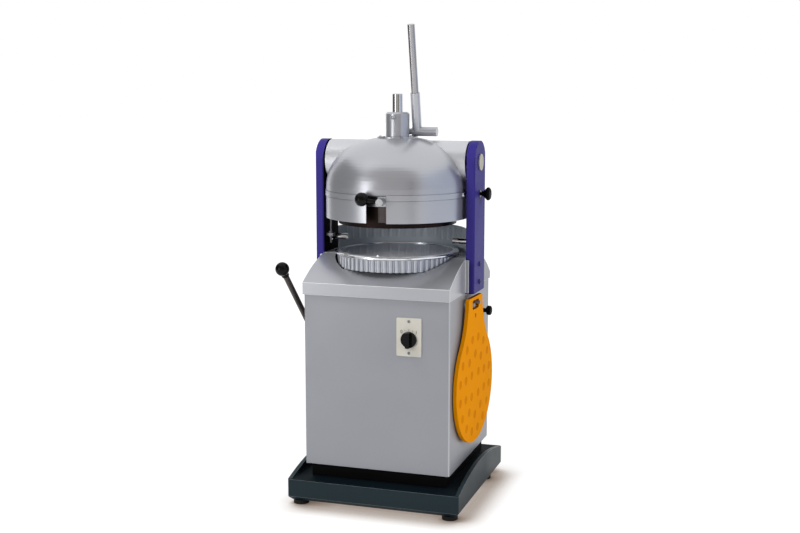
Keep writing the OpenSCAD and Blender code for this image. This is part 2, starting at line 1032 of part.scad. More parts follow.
module drive_belt() {
    color(black)
        translate([0, 0, pulley_z + (pulley_t - belt_h) / 2])
            linear_extrude(belt_h)
                difference() {
                    belt_loop(belt_t);
                    belt_loop(0);
                }
}

crank_web_z = column_top + crank_gap;
crank_pin_top = table_carrier_z - hub_roof - hub_gap;

// The table rests at the front of its circle
table_y = axis_y - orbit_r;

module eccentric_shaft() {
    color(steel) {
        bar_z(0, axis_y, pulley_z - shaft_tail, crank_web_z, drive_shaft_r);
        bar_z(0, axis_y, crank_web_z, crank_web_z + crank_web_t, crank_web_r);
        bar_z(0, table_y, crank_web_z + crank_web_t, crank_pin_top, crank_pin_r);
    }
}

module guide_crank(x) {
    color(steel) {
        bar_z(x, axis_y, column_top - column_flange_t, crank_web_z, guide_r);
        bar_z(x, axis_y, crank_web_z, crank_web_z + guide_web_t, guide_web_r);
        bar_z(x, table_y, crank_web_z + guide_web_t, crank_pin_top, guide_r);
    }
}

module guide_crank_left() {
    guide_crank(-guide_ring);
}

module guide_crank_right() {
    guide_crank(guide_ring);
}

// Rounding table

module table_carrier() {
    foot = crank_web_z + crank_web_t + hub_gap;
    color(dark_steel)
        difference() {
            union() {
                bar_z(0, table_y, table_carrier_z, table_z, carrier_r);
                bar_z(0, table_y, foot, table_carrier_z, crank_pin_r + hub_wall);
                for (s = [-1, 1])
                    bar_z(s * guide_ring, table_y, foot, table_carrier_z, guide_boss_r);
            }
            bar_z(0, table_y, foot - over, table_carrier_z - hub_roof, crank_pin_r + run_gap);
            for (s = [-1, 1])
                bar_z(s * guide_ring, table_y, foot - over, table_carrier_z - hub_roof, guide_r + run_gap);
        }
}

module rounding_table() {
    r = ring_in;
    color(steel)
        translate([0, table_y, table_z])
            rotate_extrude()
                polygon([[0, 0], [r, 0], [r, table_t - table_edge], [r - table_edge, table_t],
                    [0, table_t]]);
}

module fluted_ring() {
    rim_low = rim_z - rim_h;
    color(silver)
        translate([0, table_y, 0]) {
            translate([0, 0, ring_z])
                linear_extrude(rim_low - ring_z)
                    difference() {
                        union() {
                            circle(ring_r, $fn = fine_sides);
                            for (i = [0 : flute_count - 1])
                                rotate(i * 360 / flute_count)
                                    translate([ring_r - flute_sink, 0])
                                        circle(flute_r);
                        }
                        circle(ring_in, $fn = fine_sides);
                    }
            translate([0, 0, rim_low])
                rotate_extrude()
                    polygon([[ring_in, 0], [rim_r - rim_edge, 0], [rim_r, rim_edge],
                        [rim_r, rim_h - rim_edge], [rim_r - rim_edge, rim_h], [ring_in, rim_h]]);
            translate([0, -(ring_in + rim_r) / 2, rim_z])
                rotate([90, 0, 0])
                    translate([0, 0, -pointer_t / 2])
                        linear_extrude(pointer_t)
                            polygon([[-pointer_w / 2, 0], [pointer_w / 2, 0], [0, pointer_h]]);
        }
}

// The rear half of a ring round the head's axis, up to height z1
module guard_wall(z0, z1) {
    intersection() {
        axis_ring(z0, z1, guard_r + guard_t, guard_r, $fn = fine_sides);
        box([-guard_r - guard_t, guard_front, z0], [guard_r + guard_t, axis_y + guard_r + guard_t, z1]);
    }
}

module rear_guard() {
    plain_z = crest_z + guard_plain;
    top = crest_z + guard_rise;
    color(steel)
        difference() {
            guard_wall(cab_z1, top);
            side_view(-cab_x - over, cab_x + over)
                cover_profile(0, over);
            for (i = [0 : guard_flute_count - 1])
                translate([0, axis_y, plain_z])
                    rotate(i * 180 / (guard_flute_count - 1))
                        translate([guard_r - guard_flute_r + guard_t / 2, 0, 0])
                            cylinder(r = guard_flute_r, h = top - plain_z + over);
        }
}

// Rounding lever on the left side

module lever_bush() {
    color("goldenrod")
        difference() {
            bar_x(-cab_in, lever_bush_t - cab_in, lever_pivot_y, lever_pivot_z,
                lever_shaft_r + lever_bush_wall);
            bar_x(-cab_in - over, lever_bush_t - cab_in + over, lever_pivot_y, lever_pivot_z,
                lever_shaft_r + run_gap);
        }
}

cam_x = lever_bush_t - cab_in + lever_cam_gap;

module limit_switch() {
    y0 = lever_pivot_y + lever_cam_shift + lever_cam_r + limit_gap;
    color(black)
        box([-cab_in, y0, lever_pivot_z - limit_h / 2],
            [cam_x + lever_cam_t + limit_w / 2, y0 + limit_d, lever_pivot_z + limit_h / 2]);
}

// Puts its children at the rounding lever's pivot, with +Z along the rod
module along_hand_lever() {
    translate([-cab_x - lever_side_gap - lever_hub_t / 2, lever_pivot_y, lever_pivot_z])
        rotate([hand_lever_lean, 0, 0])
            rotate([0, -lever_side_lean, 0])
                children();
}

module rounding_lever() {
    color(dark_steel) {
        bar_x(-cab_x - lever_side_gap - lever_hub_t, -cab_x - lever_side_gap, lever_pivot_y, lever_pivot_z,
            lever_hub_r);
        bar_x(-cab_x - lever_side_gap, cam_x, lever_pivot_y, lever_pivot_z, lever_shaft_r);
        bar_x(cam_x, cam_x + lever_cam_t, lever_pivot_y + lever_cam_shift, lever_pivot_z, lever_cam_r);
        along_hand_lever()
            cylinder(r = lever_rod_r, h = hand_lever_len - ball_r);
    }
}

module lever_ball() {
    color(black)
        along_hand_lever()
            difference() {
                union() {
                    translate([0, 0, hand_lever_len])
                        sphere(ball_r);
                    translate([0, 0, hand_lever_len - ball_r - ball_neck_len / 2])
                        cylinder(r = ball_neck_r, h = ball_neck_len);
                }
                cylinder(r = lever_rod_r, h = hand_lever_len - ball_r);
            }
}

// Moulding plate on its peg

module plate_peg() {
    color(steel)
        bar_x(cab_x, cab_x + peg_len, peg_y, peg_z, peg_r);
}

// A disc whose handle runs into it along a hollow curve on each side
module plate_outline() {
    corner = [handle_w / 2, handle_top];
    reach = plate_r + neck_r;
    swing = acos((pow(reach, 2) + pow(norm(corner), 2) - pow(neck_r, 2)) / (2 * reach * norm(corner)));
    lean = atan2(corner.x, corner.y) + swing;
    hollow = [reach * sin(lean), reach * cos(lean)];
    circle(plate_r, $fn = fine_sides);
    difference() {
        polygon([[0, 0], hollow, corner, [-corner.x, corner.y], [-hollow.x, hollow.y]]);
        for (s = [-1, 1]) {
            translate([s * hollow.x, hollow.y])
                circle(neck_r, $fn = fine_sides);
            translate([s * corner.x, corner.y])
                rotate(45)
                    square(handle_chamfer * sqrt(2), center = true);
        }
    }
}

// Shallow round dimples, one for each piece of dough
module plate_dimples() {
    ball_r = (pow(dimple_r, 2) + pow(dimple_depth, 2)) / (2 * dimple_depth);
    for (i = [0 : len(knife_spokes) - 1], k = [0 : knife_spokes[i] - 1])
        rotate((k + 1 / 2) * 360 / knife_spokes[i])
            translate([dimple_ring_shares[i] * plate_r, 0, plate_t - dimple_depth + ball_r])
                sphere(ball_r);
}

module moulding_plate() {
    color(amber)
        translate([plate_x, axis_y, plate_z])
            rotate([0, 0, -plate_turn])
                rotate([90, 0, 90])
                    translate([0, 0, -plate_t / 2])
                        difference() {
                            linear_extrude(plate_t)
                                plate_outline();
                            translate([0, grip_z, -over])
                                linear_extrude(plate_t + 2 * over)
                                    round_rect(grip_w, grip_h, grip_h / 4);
                            translate([0, grip_z - hang_hole_drop, -over])
                                cylinder(r = hang_hole_r, h = plate_t + 2 * over);
                            plate_dimples();
                        }
}

module side_knob() {
    x0 = cab_x + move_gap;
    color(black) {
        bar_x(cab_in - side_stem_in, x0 + side_stem_len, side_knob_y, side_knob_z, side_stem_r);
        bar_x(cab_in - side_stem_in, cab_in - side_stem_in + side_collar_t, side_knob_y, side_knob_z,
            side_collar_r);
        translate([x0 + side_stem_len, side_knob_y, side_knob_z])
            rotate([0, 90, 0])
                rotate_extrude()
                    polygon([[0, 0], [side_knob_r - side_knob_edge, 0], [side_knob_r, side_knob_edge],
                        [side_knob_r, side_knob_t - side_knob_edge],
                        [side_knob_r - side_knob_edge, side_knob_t], [0, side_knob_t]]);
    }
}

// Head

// Half outline of a flat-topped dome, from its rim up to its flat
function dome_points(r, h, flat) =
    let (k = 1 / dome_fullness_share, top = acos(pow(flat / r, 1 / k)), tall = h / pow(sin(top), k))
    [for (i = [0 : dome_steps]) let (a = top * i / dome_steps) [r * pow(cos(a), k), tall * pow(sin(a), k)]];

function turned_round(list) = [for (i = [len(list) - 1 : -1 : 0]) list[i]];

dome_outside = dome_points(skirt_r, dome_h, dome_flat_r);
dome_inside = dome_points(skirt_r - head_t, dome_h - head_t, dome_flat_r);

module on_dome() {
    translate([0, axis_y, dome_z])
        rotate_extrude()
            children();
}

module head_dome() {
    barrel_end = cab_x - barrel_gap;
    color(silver) {
        on_dome()
            polygon(concat(dome_outside, [[dome_open_r, dome_h], [dome_open_r, dome_h - head_t]],
                turned_round(dome_inside)));
        difference() {
            both_sides()
                bar_x(dome_flat_r, barrel_end, upright_y, pivot_z, barrel_r);
            on_dome()
                polygon(concat([[0, 0]], dome_inside, [[0, dome_h - head_t]]));
            box([-cab_x, upright_y - barrel_r - over, dome_z - barrel_r],
                [cab_x, upright_y + barrel_r + over, dome_z]);
            both_sides()
                bar_x(barrel_end - pivot_grip, barrel_end + over, upright_y, pivot_z, pivot_r);
        }
    }
}

module notch() {
    box([notch_x - notch_w / 2, skirt_front - over, skirt_z - over],
        [notch_x + notch_w / 2, skirt_front + notch_w, dome_z - notch_top_gap]);
}

module head_skirt() {
    block_y = skirt_front + div_block_t;
    color(silver) {
        difference() {
            axis_ring(skirt_z, band_z, skirt_r, skirt_r - head_t);
            notch();
        }
        difference() {
            box([div_x - div_block_r, skirt_front, div_z - div_block_r],
                [notch_x + notch_w / 2, block_y, div_z + div_block_r]);
            bar_y(div_x, skirt_front - over, block_y + over, div_z, div_pin_r + run_gap);
        }
    }
}

lock_face = sqrt(pow(skirt_r + band_proud, 2) - pow(lock_y - axis_y, 2)) + lock_bush_proud;

module head_band() {
    r = skirt_r + band_proud;
    low = skirt_r - groove_depth;
    color(silver)
        difference() {
            translate([0, axis_y, band_z])
                rotate_extrude()
                    polygon([[skirt_r - head_t, 0], [low, 0], [low, groove_w], [r, groove_w],
                        [r, band_h - groove_w], [low, band_h - groove_w], [low, band_h],
                        [skirt_r - head_t, band_h]]);
            notch();
            both_sides()
                bar_x(lock_face - lock_bush_len, lock_face + over, lock_y, lock_z, lock_bush_r);
        }
}

module lock_sockets() {
    color(steel)
        both_sides()
            difference() {
                bar_x(lock_face - lock_bush_len, lock_face, lock_y, lock_z, lock_bush_r);
                bar_x(lock_face - lock_bush_len / 2, lock_face + over, lock_y, lock_z,
                    lock_pin_r + lock_socket_gap);
            }
}

module lock_plunger() {
    x0 = upright_x + lock_guide_h + lock_stroke + move_gap;
    color(black) {
        bar_x(lock_face + move_gap, x0, lock_y, lock_z, lock_pin_r);
        translate([x0, lock_y, lock_z])
            rotate([0, 90, 0])
                rotate_extrude()
                    polygon([[0, 0], [lock_neck_r, 0], [lock_neck_r, lock_knob_edge],
                        [lock_knob_r, lock_knob_len - 2 * lock_knob_edge],
                        [lock_knob_r, lock_knob_len - lock_knob_edge],
                        [lock_knob_r - lock_knob_edge, lock_knob_len], [0, lock_knob_len]]);
    }
}

module pivot_pins() {
    color(ivory)
        both_sides() {
            bar_x(cab_x - barrel_gap - pivot_grip, upright_x + move_gap, upright_y, pivot_z, pivot_r);
            bar_x(upright_x + move_gap, upright_x + move_gap + cap_t, upright_y, pivot_z, pivot_cap_r);
        }
}

module scale_bar() {
    x1 = div_x + div_hub_r;
    y0 = skirt_front + head_t / 2;
    top = div_z - div_block_r;
    foot = skirt_z + notch_top_gap;
    step = (top - foot) / (scale_count + 1);
    color(dark_steel) {
        box([x1 - scale_w, y0, foot], [x1, y0 + scale_t, top]);
        for (i = [1 : scale_count])
            box([x1 - scale_w, y0 - scale_line_t, foot + i * step],
                [x1, y0, foot + i * step + scale_line_h]);
    }
}

// Dividing lever in the notch

module dividing_hub() {
    block_y = skirt_front + div_block_t;
    color(steel) {
        bar_y(div_x, div_arm_y - div_arm_r, skirt_front - move_gap, div_z, div_hub_r);
        bar_y(div_x, skirt_front - move_gap, block_y + move_gap, div_z, div_pin_r);
        bar_y(div_x, block_y + move_gap, block_y + move_gap + div_collar_t, div_z, div_collar_r);
    }
}

module dividing_lever() {
    ball = [div_x - div_arm_len, div_arm_y, div_z + div_arm_lift];
    tilt = atan2(div_arm_lift, div_arm_len);
    color(black)
        difference() {
            union() {
                translate(ball)
                    sphere(div_ball_r);
                translate(ball)
                    rotate([0, 90 + tilt, 0])
                        cylinder(r = div_arm_r, h = norm([div_arm_len, div_arm_lift]));
            }
            bar_y(div_x, div_arm_y - div_arm_r - over, skirt_front, div_z, div_hub_r);
        }
}

// Boss, rack and pinion

pinion_bush_r = shaft_r + run_gap + pinion_bush_wall;

module top_boss() {
    color(silver)
        difference() {
            union() {
                bar_z(0, axis_y, dome_top, dome_top + flange_h, flange_r);
                translate([0, axis_y, dome_top])
                    rotate_extrude()
                        polygon([[0, 0], [boss_r, 0], [boss_r, boss_h - boss_edge],
                            [boss_r - boss_edge, boss_h], [0, boss_h]]);
                bar_x(-pinion_house_half, pinion_house_half, pinion_y, pinion_z, pinion_house_r);
                bar_y(0, axis_y - boss_r - nipple_h, axis_y, boss_top - nipple_drop, nipple_r);
                translate([0, axis_y - boss_r - nipple_h, boss_top - nipple_drop])
                    sphere(nipple_ball_r);
            }
            bar_z(0, axis_y, dome_top - pinion_house_r, boss_top + over, rod_r + run_gap);
            bar_x(-pinion_cave_half, pinion_cave_half, pinion_y, pinion_z, pinion_cave_r);
            bar_x(-pinion_house_half - over, pinion_house_half + over, pinion_y, pinion_z, pinion_bush_r);
            bar_x(pinion_house_half, boss_r + over, pinion_y, pinion_z, shaft_r + move_gap);
        }
}

module boss_screws() {
    color(steel)
        for (i = [0 : flange_screws - 1])
            translate([0, axis_y, dome_top + flange_h])
                rotate(i * 360 / flange_screws)
                    translate([flange_screw_ring, 0, 0])
                        cylinder(r = flange_screw_r, h = flange_screw_h);
}

module pinion_bushes() {
    color("goldenrod")
        both_sides()
            difference() {
                bar_x(pinion_cave_half, pinion_house_half, pinion_y, pinion_z, pinion_bush_r);
                bar_x(pinion_cave_half - over, pinion_house_half + over, pinion_y, pinion_z,
                    shaft_r + run_gap);
            }
}

// Involute tooth flanks
function involute(a) = tan(a) * 180 / PI - a;
pinion_base_r = pinion_r * cos(flank_angle);
pinion_tip_r = pinion_r + gear_module;
pinion_root_r = pinion_r - dedendum_share * gear_module;
tooth_half = 90 / pinion_teeth - gear_backlash / pinion_r * 90 / PI;
function flank_half(r) =
    tooth_half + involute(flank_angle) - involute(acos(min(1, pinion_base_r / r)));
function flank_r(k) = pinion_base_r + (pinion_tip_r - pinion_base_r) * k / flank_steps;
function on_circle(r, a) = [r * cos(a), r * sin(a)];
function tooth_points(a) = concat(
    [on_circle(pinion_root_r, a - flank_half(pinion_base_r))],
    [for (k = [0 : flank_steps]) on_circle(flank_r(k), a - flank_half(flank_r(k)))],
    [for (k = [flank_steps : -1 : 0]) on_circle(flank_r(k), a + flank_half(flank_r(k)))],
    [on_circle(pinion_root_r, a + flank_half(pinion_base_r))]);

module pinion_shaft() {
    color(steel) {
        side_view(-pinion_half, pinion_half)
            translate([pinion_y, pinion_z])
                rotate(180)
                    polygon([for (i = [0 : pinion_teeth - 1], p = tooth_points(i * 360 / pinion_teeth)) p]);
        bar_x(-pinion_house_half, hub_x0 + hub_len, pinion_y, pinion_z, shaft_r);
    }
}

// Puts its children at the press lever's axis, with +Z along the lever
module along_press_lever() {
    translate([lever_x, pinion_y, pinion_z])
        rotate([lever_lean, 0, 0])
            children();
}

module press_lever_hub() {
    hub_end = hub_x0 + hub_len;
    color(silver)
        difference() {
            union() {
                bar_x(hub_x0, hub_end, pinion_y, pinion_z, hub_r);
                along_press_lever()
                    cylinder(r = socket_r, h = socket_len);
            }
            bar_x(hub_x0 - over, hub_end + over, pinion_y, pinion_z, shaft_r);
            along_press_lever()
                translate([0, 0, socket_len - tube_grip])
                    cylinder(r = tube_r, h = tube_grip + over);
        }
}

module press_lever_tube() {
    foot = socket_len - tube_grip;
    color(steel)
        along_press_lever()
            difference() {
                translate([0, 0, foot])
                    cylinder(r = tube_r, h = lever_len - foot);
                translate([0, 0, foot - over])
                    cylinder(r = tube_r - tube_wall, h = lever_len - foot + over - tube_end_t);
            }
}

module rack_gap() {
    quarter = PI * gear_module / 4;
    tip = gear_module + over;
    root = dedendum_share * gear_module;
    polygon([[tip, quarter + tip * tan(flank_angle)], [-root, quarter - root * tan(flank_angle)],
        [-root, root * tan(flank_angle) - quarter], [tip, -quarter - tip * tan(flank_angle)]]);
}

module press_rod() {
    foot = carrier_z + carrier_t;
    top = boss_top + rod_over - foot;
    color(steel)
        difference() {
            translate([0, axis_y, foot])
                rotate_extrude()
                    polygon([[0, 0], [rod_flange_r, 0], [rod_flange_r, rod_flange_t], [rod_r, rod_flange_t],
                        [rod_r, top - rod_edge], [rod_r - rod_edge, top], [0, top]]);
            for (i = [-rack_down : rack_up])
                side_view(-rod_r, rod_r)
                    translate([axis_y + rack_line, pinion_z + i * PI * gear_module])
                        rack_gap();
        }
}

// Dividing head

module press_carrier() {
    color(silver)
        bar_z(0, axis_y, carrier_z, carrier_z + carrier_t, chamber_r + chamber_t);
}

module chamber_ring() {
    color(dark_steel)
        axis_ring(chamber_z, carrier_z, chamber_r + chamber_t, chamber_r);
}

// Plan of the knives: rings joined by spokes, all of thickness t
module knife_plan(t) {
    for (i = [0 : len(knife_spokes) - 1]) {
        r0 = knife_ring_shares[i] * knife_r;
        r1 = knife_ring_shares[i + 1] * knife_r;
        for (k = [0 : knife_spokes[i] - 1])
            rotate(k * 360 / knife_spokes[i])
                translate([r0, -t / 2])
                    square([r1 - r0, t]);
        if (i > 0)
            difference() {
                circle(r0 + t / 2);
                circle(r0 - t / 2);
            }
    }
}

// Puts its children in the middle of every dough segment
module at_segments() {
    for (i = [0 : len(knife_spokes) - 1], k = [0 : knife_spokes[i] - 1])
        rotate((k + post_share) * 360 / knife_spokes[i])
            translate([(knife_ring_shares[i] + knife_ring_shares[i + 1]) * post_share * knife_r, 0])
                children();
}

module press_segments() {
    color(steel)
        translate([0, axis_y, segment_z]) {
            linear_extrude(segment_t)
                difference() {
                    circle(chamber_r - segment_gap);
                    knife_plan(knife_t + 2 * knife_gap);
                }
            at_segments()
                cylinder(r = post_r, h = carrier_z - segment_z);
        }
}

module knife_set() {
    color(steel)
        translate([0, axis_y, 0]) {
            translate([0, 0, segment_z])
                linear_extrude(knife_plate_z - segment_z)
                    knife_plan(knife_t);
            translate([0, 0, knife_plate_z])
                linear_extrude(knife_plate_t)
                    difference() {
                        circle(knife_r);
                        at_segments()
                            circle(post_r + post_gap);
                    }
        }
}

base_plinth();
levelling_feet();
toe_kick();
cabinet_shell();
rear_panel();
panel_screws();
front_cover();
rear_cover();
left_upright();
right_upright();
upright_bolts();
pivot_bushes();
stop_pins();
head_stop();
lock_guide();
switch_plate();
switch_block();
drive_frame();
bearing_column();
column_bearings();
motor();
motor_bracket();
drive_belt();
rear_guard();
lever_bush();
limit_switch();
plate_peg();
head_dome();
head_skirt();
head_band();
lock_sockets();
pivot_pins();
scale_bar();
top_boss();
boss_screws();
pinion_bushes();
pinion_shaft();
press_lever_hub();
press_lever_tube();
press_rod();
press_carrier();
press_segments();
chamber_ring();
knife_set();
dividing_hub();
dividing_lever();
lock_plunger();
switch_knob();
rounding_lever();
lever_ball();
eccentric_shaft();
drive_pulley();
motor_pulley();
guide_crank_left();
guide_crank_right();
table_carrier();
rounding_table();
fluted_ring();
side_knob();
moulding_plate();
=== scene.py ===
import bpy
import bmesh
import json
import math
from mathutils import Matrix, Vector


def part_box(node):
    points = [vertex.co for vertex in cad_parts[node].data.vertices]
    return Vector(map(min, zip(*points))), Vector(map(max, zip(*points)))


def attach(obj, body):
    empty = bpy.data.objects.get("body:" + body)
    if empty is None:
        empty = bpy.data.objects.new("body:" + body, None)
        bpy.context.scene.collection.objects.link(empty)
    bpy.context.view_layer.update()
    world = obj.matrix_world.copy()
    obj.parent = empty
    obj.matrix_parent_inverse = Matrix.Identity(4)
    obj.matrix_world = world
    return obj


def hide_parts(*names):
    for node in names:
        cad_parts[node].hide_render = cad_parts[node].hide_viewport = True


# Lengths are in metres, and angles in radians unless a name says otherwise.

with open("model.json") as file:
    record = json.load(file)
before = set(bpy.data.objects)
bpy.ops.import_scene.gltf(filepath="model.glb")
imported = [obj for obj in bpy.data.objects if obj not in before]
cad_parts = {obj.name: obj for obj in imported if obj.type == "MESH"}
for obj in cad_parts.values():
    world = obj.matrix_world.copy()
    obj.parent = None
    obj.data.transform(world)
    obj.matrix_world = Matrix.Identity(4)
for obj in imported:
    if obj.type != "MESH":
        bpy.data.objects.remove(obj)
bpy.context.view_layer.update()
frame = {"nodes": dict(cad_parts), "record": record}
nodes = frame["nodes"]
scene = bpy.context.scene
scene.view_settings.view_transform = "Standard"


def middle(node):
    """The centre of a node's box."""
    low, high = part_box(node)
    return (Vector(low) + Vector(high)) / 2


AXIS_Y = middle("head_band").y
TABLE_Y = middle("rounding_table").y
INNER_X = abs(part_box("right_upright")[0][0])


# Camera at the photograph's viewing angle

CAMERA_PLACE = (1.39135, -4.26035, 1.51061)
CAMERA_TILT = math.radians(90 - 8.54)
CAMERA_TURN = math.radians(18.04)
LENS_MM = 55.34
SENSOR_MM = 36.0
VIEW_END = 100.0


def make_camera():
    data = bpy.data.cameras.new("camera")
    data.sensor_width = SENSOR_MM
    data.lens = LENS_MM
    data.clip_end = VIEW_END
    cam = bpy.data.objects.new("camera", data)
    cam.location = CAMERA_PLACE
    cam.rotation_euler = (CAMERA_TILT, 0, CAMERA_TURN)
    scene.collection.objects.link(cam)
    scene.camera = cam


make_camera()


# Materials

# Sockets of Blender's Mix node when it mixes colours
MIX_FACTOR, MIX_A, MIX_B, MIX_RESULT = 0, 6, 7, 2
BEVEL_RAYS = 6
# How far a rounded normal leans off the face's own where an edge begins and where it is full
EDGE_LEAN = (0.02, 0.2)


class Tree:
    """A small helper round one material's node tree."""

    def __init__(self, name):
        self.mat = bpy.data.materials.new(name)
        self.mat.use_nodes = True
        self.nt = self.mat.node_tree
        self.shader = self.nt.nodes["Principled BSDF"]
        self.coords = self.add("ShaderNodeTexCoord").outputs["Object"]

    def add(self, kind, **values):
        n = self.nt.nodes.new(kind)
        for key, value in values.items():
            setattr(n, key, value)
        return n

    def link(self, a, b):
        self.nt.links.new(a, b)

    def feed(self, value, socket):
        """Links a socket to another, or puts a number or a colour on it."""
        if isinstance(value, bpy.types.NodeSocket):
            self.link(value, socket)
        elif isinstance(value, tuple):
            socket.default_value = (*value, 1.0)
        else:
            socket.default_value = value

    def put(self, **values):
        for key, value in values.items():
            self.shader.inputs[key.replace("_", " ")].default_value = value

    def mapped(self, scale):
        m = self.add("ShaderNodeMapping")
        m.inputs["Scale"].default_value = scale
        self.link(self.coords, m.inputs["Vector"])
        return m.outputs["Vector"]

    def axis(self, letter):
        s = self.add("ShaderNodeSeparateXYZ")
        self.link(self.coords, s.inputs[0])
        return s.outputs[letter]

    def noise(self, scale, detail, rough=0.5, vector=None):
        n = self.add("ShaderNodeTexNoise")
        n.inputs["Scale"].default_value = scale
        n.inputs["Detail"].default_value = detail
        n.inputs["Roughness"].default_value = rough
        self.link(vector or self.coords, n.inputs["Vector"])
        return n.outputs["Fac"]

    def lines(self, stretch, detail):
        """Noise drawn out along the axes with a small stretch."""
        return self.noise(1.0, detail, 0.6, self.mapped(stretch))

    def ramp(self, value, stops):
        r = self.add("ShaderNodeValToRGB")
        e = r.color_ramp.elements
        while len(e) < len(stops):
            e.new(0.5)
        for item, (place, colour) in zip(e, stops):
            item.position = place
            item.color = (*colour, 1.0)
        self.link(value, r.inputs["Fac"])
        return r.outputs["Color"]

    def tones(self, value, dark, light, low=0.3, high=0.7):
        """Colours from dark to light, as the value goes from low to high."""
        return self.ramp(value, [(low, dark), (high, light)])

    def span(self, value, low, high, from_low=0.3, from_high=0.7):
        m = self.add("ShaderNodeMapRange")
        m.inputs["From Min"].default_value = from_low
        m.inputs["From Max"].default_value = from_high
        m.inputs["To Min"].default_value = low
        m.inputs["To Max"].default_value = high
        self.link(value, m.inputs["Value"])
        return m.outputs["Result"]

    def mix(self, fac, a, b):
        m = self.add("ShaderNodeMix", data_type="RGBA")
        for value, place in ((fac, MIX_FACTOR), (a, MIX_A), (b, MIX_B)):
            self.feed(value, m.inputs[place])
        return m.outputs[MIX_RESULT]

    def maths(self, kind, *values):
        m = self.add("ShaderNodeMath", operation=kind)
        for value, socket in zip(values, m.inputs):
            self.feed(value, socket)
        return m.outputs[0]

    def weighed(self, a, share_a, b, share_b):
        """The sum of shares of two values."""
        return self.maths("ADD", self.maths("MULTIPLY", a, share_a),
            self.maths("MULTIPLY", b, share_b))

    def soft_normal(self, width):
        """The surface's normal with sharp edges rounded over that width."""
        b = self.add("ShaderNodeBevel", samples=BEVEL_RAYS)
        b.inputs["Radius"].default_value = width
        return b.outputs["Normal"]

    def bump(self, height, strength, distance, edge=0.0):
        b = self.add("ShaderNodeBump")
        b.inputs["Strength"].default_value = strength
        b.inputs["Distance"].default_value = distance
        self.link(height, b.inputs["Height"])
        if edge:
            self.link(self.soft_normal(edge), b.inputs["Normal"])
        self.link(b.outputs["Normal"], self.shader.inputs["Normal"])

    def edges(self, width):
        """A mask that is 1 along the edges."""
        g = self.add("ShaderNodeNewGeometry")
        d = self.add("ShaderNodeVectorMath", operation="DOT_PRODUCT")
        self.link(self.soft_normal(width), d.inputs[0])
        self.link(g.outputs["Normal"], d.inputs[1])
        return self.span(self.maths("SUBTRACT", 1.0, d.outputs["Value"]), 0.0, 1.0, *EDGE_LEAN)

    def colour(self, socket):
        self.link(socket, self.shader.inputs["Base Color"])

    def rough(self, socket):
        self.link(socket, self.shader.inputs["Roughness"])

    def radius(self, y):
        """Distance from a vertical axis at that y."""
        x = self.axis("X")
        dy = self.maths("SUBTRACT", self.axis("Y"), y)
        squares = [self.maths("MULTIPLY", d, d) for d in (x, dy)]
        return self.maths("SQRT", self.maths("ADD", *squares))


# Scales of the noises, in cells per metre
PAINT_TONE = 2.3
PAINT_WEAR = 38.0
PAINT_SHEEN = 5.0
METAL_BLOTCH = 9.0
TURNED_BLOTCH = 7.0
PLASTIC_TONE = 6.0
PLASTIC_SCUFF = (40.0, 14.0, 90.0)

# Depths of the bumps, and widths over which edges are rubbed or rounded
PEEL_DEPTH = 0.0006
LINE_DEPTH = 0.0004
RUB_WIDTH = 0.0022
PLASTIC_EDGE = 0.0008

# Shares by which paint grains are darker and lighter, and the part of the noise that is worn
GRAIN_DARK_SHARE = 0.86
GRAIN_LIGHT_SHARE = 1.14
WORN_SPAN = (0.42, 0.62)
TURNED_BUMP = 0.12


def paint(name, dark, light, metallic, rough, grain=900.0, peel=320.0, wear=None, edge=0.0016,
          specular=0.5, bump=0.10, speck=0.45, mottle=4.0):
    """Sprayed paint: slow tone changes, a fine grain, orange peel and rubbed edges."""
    t = Tree(name)
    tone = t.tones(t.noise(PAINT_TONE, 2.0), dark, light)
    if speck:
        grain_dark = tuple(c * GRAIN_DARK_SHARE for c in dark)
        grain_light = tuple(min(1, c * GRAIN_LIGHT_SHARE) for c in light)
        fine = t.tones(t.noise(grain, 2.0, 0.7), grain_dark, grain_light, high=0.72)
        tone = t.mix(speck, tone, fine)
    if wear:
        patches = t.span(t.noise(PAINT_WEAR, 4.0), 0.0, 1.0, *WORN_SPAN)
        tone = t.mix(t.maths("MULTIPLY", t.edges(RUB_WIDTH), patches), tone, wear)
    t.colour(tone)
    t.rough(t.span(t.noise(PAINT_SHEEN, mottle), *rough))
    t.put(Metallic=metallic, Specular_IOR_Level=specular)
    if bump:
        t.bump(t.noise(peel, 2.0), bump, PEEL_DEPTH, edge)
    return t.mat


def metal(name, dark, light, rough, stretch, bump=0.08, edge=0.0006):
    """Bare metal with fine machining lines along one direction."""
    t = Tree(name)
    lines = t.lines(stretch, 3.0)
    blotch = t.noise(METAL_BLOTCH, 4.0)
    t.colour(t.mix(0.4, t.tones(lines, dark, light), t.tones(blotch, dark, light, 0.35, 0.65)))
    t.rough(t.span(t.weighed(lines, 0.6, blotch, 0.4), *rough))
    t.put(Metallic=1.0)
    t.bump(lines, bump, LINE_DEPTH, edge)
    return t.mat


def turned(name, dark, light, rough, y, pitch):
    """Metal turned on a lathe, with rings round a vertical axis."""
    t = Tree(name)
    rings = t.add("ShaderNodeTexNoise", noise_dimensions="1D")
    rings.inputs["Scale"].default_value = 1.0 / pitch
    rings.inputs["Detail"].default_value = 3.0
    t.link(t.radius(y), rings.inputs["W"])
    lines = rings.outputs["Fac"]
    blotch = t.noise(TURNED_BLOTCH, 4.0)
    t.colour(t.mix(0.35, t.tones(lines, dark, light), t.tones(blotch, dark, light, 0.35, 0.65)))
    t.rough(t.span(t.weighed(lines, 0.5, blotch, 0.5), *rough))
    t.put(Metallic=1.0)
    t.bump(lines, TURNED_BUMP, LINE_DEPTH)
    return t.mat


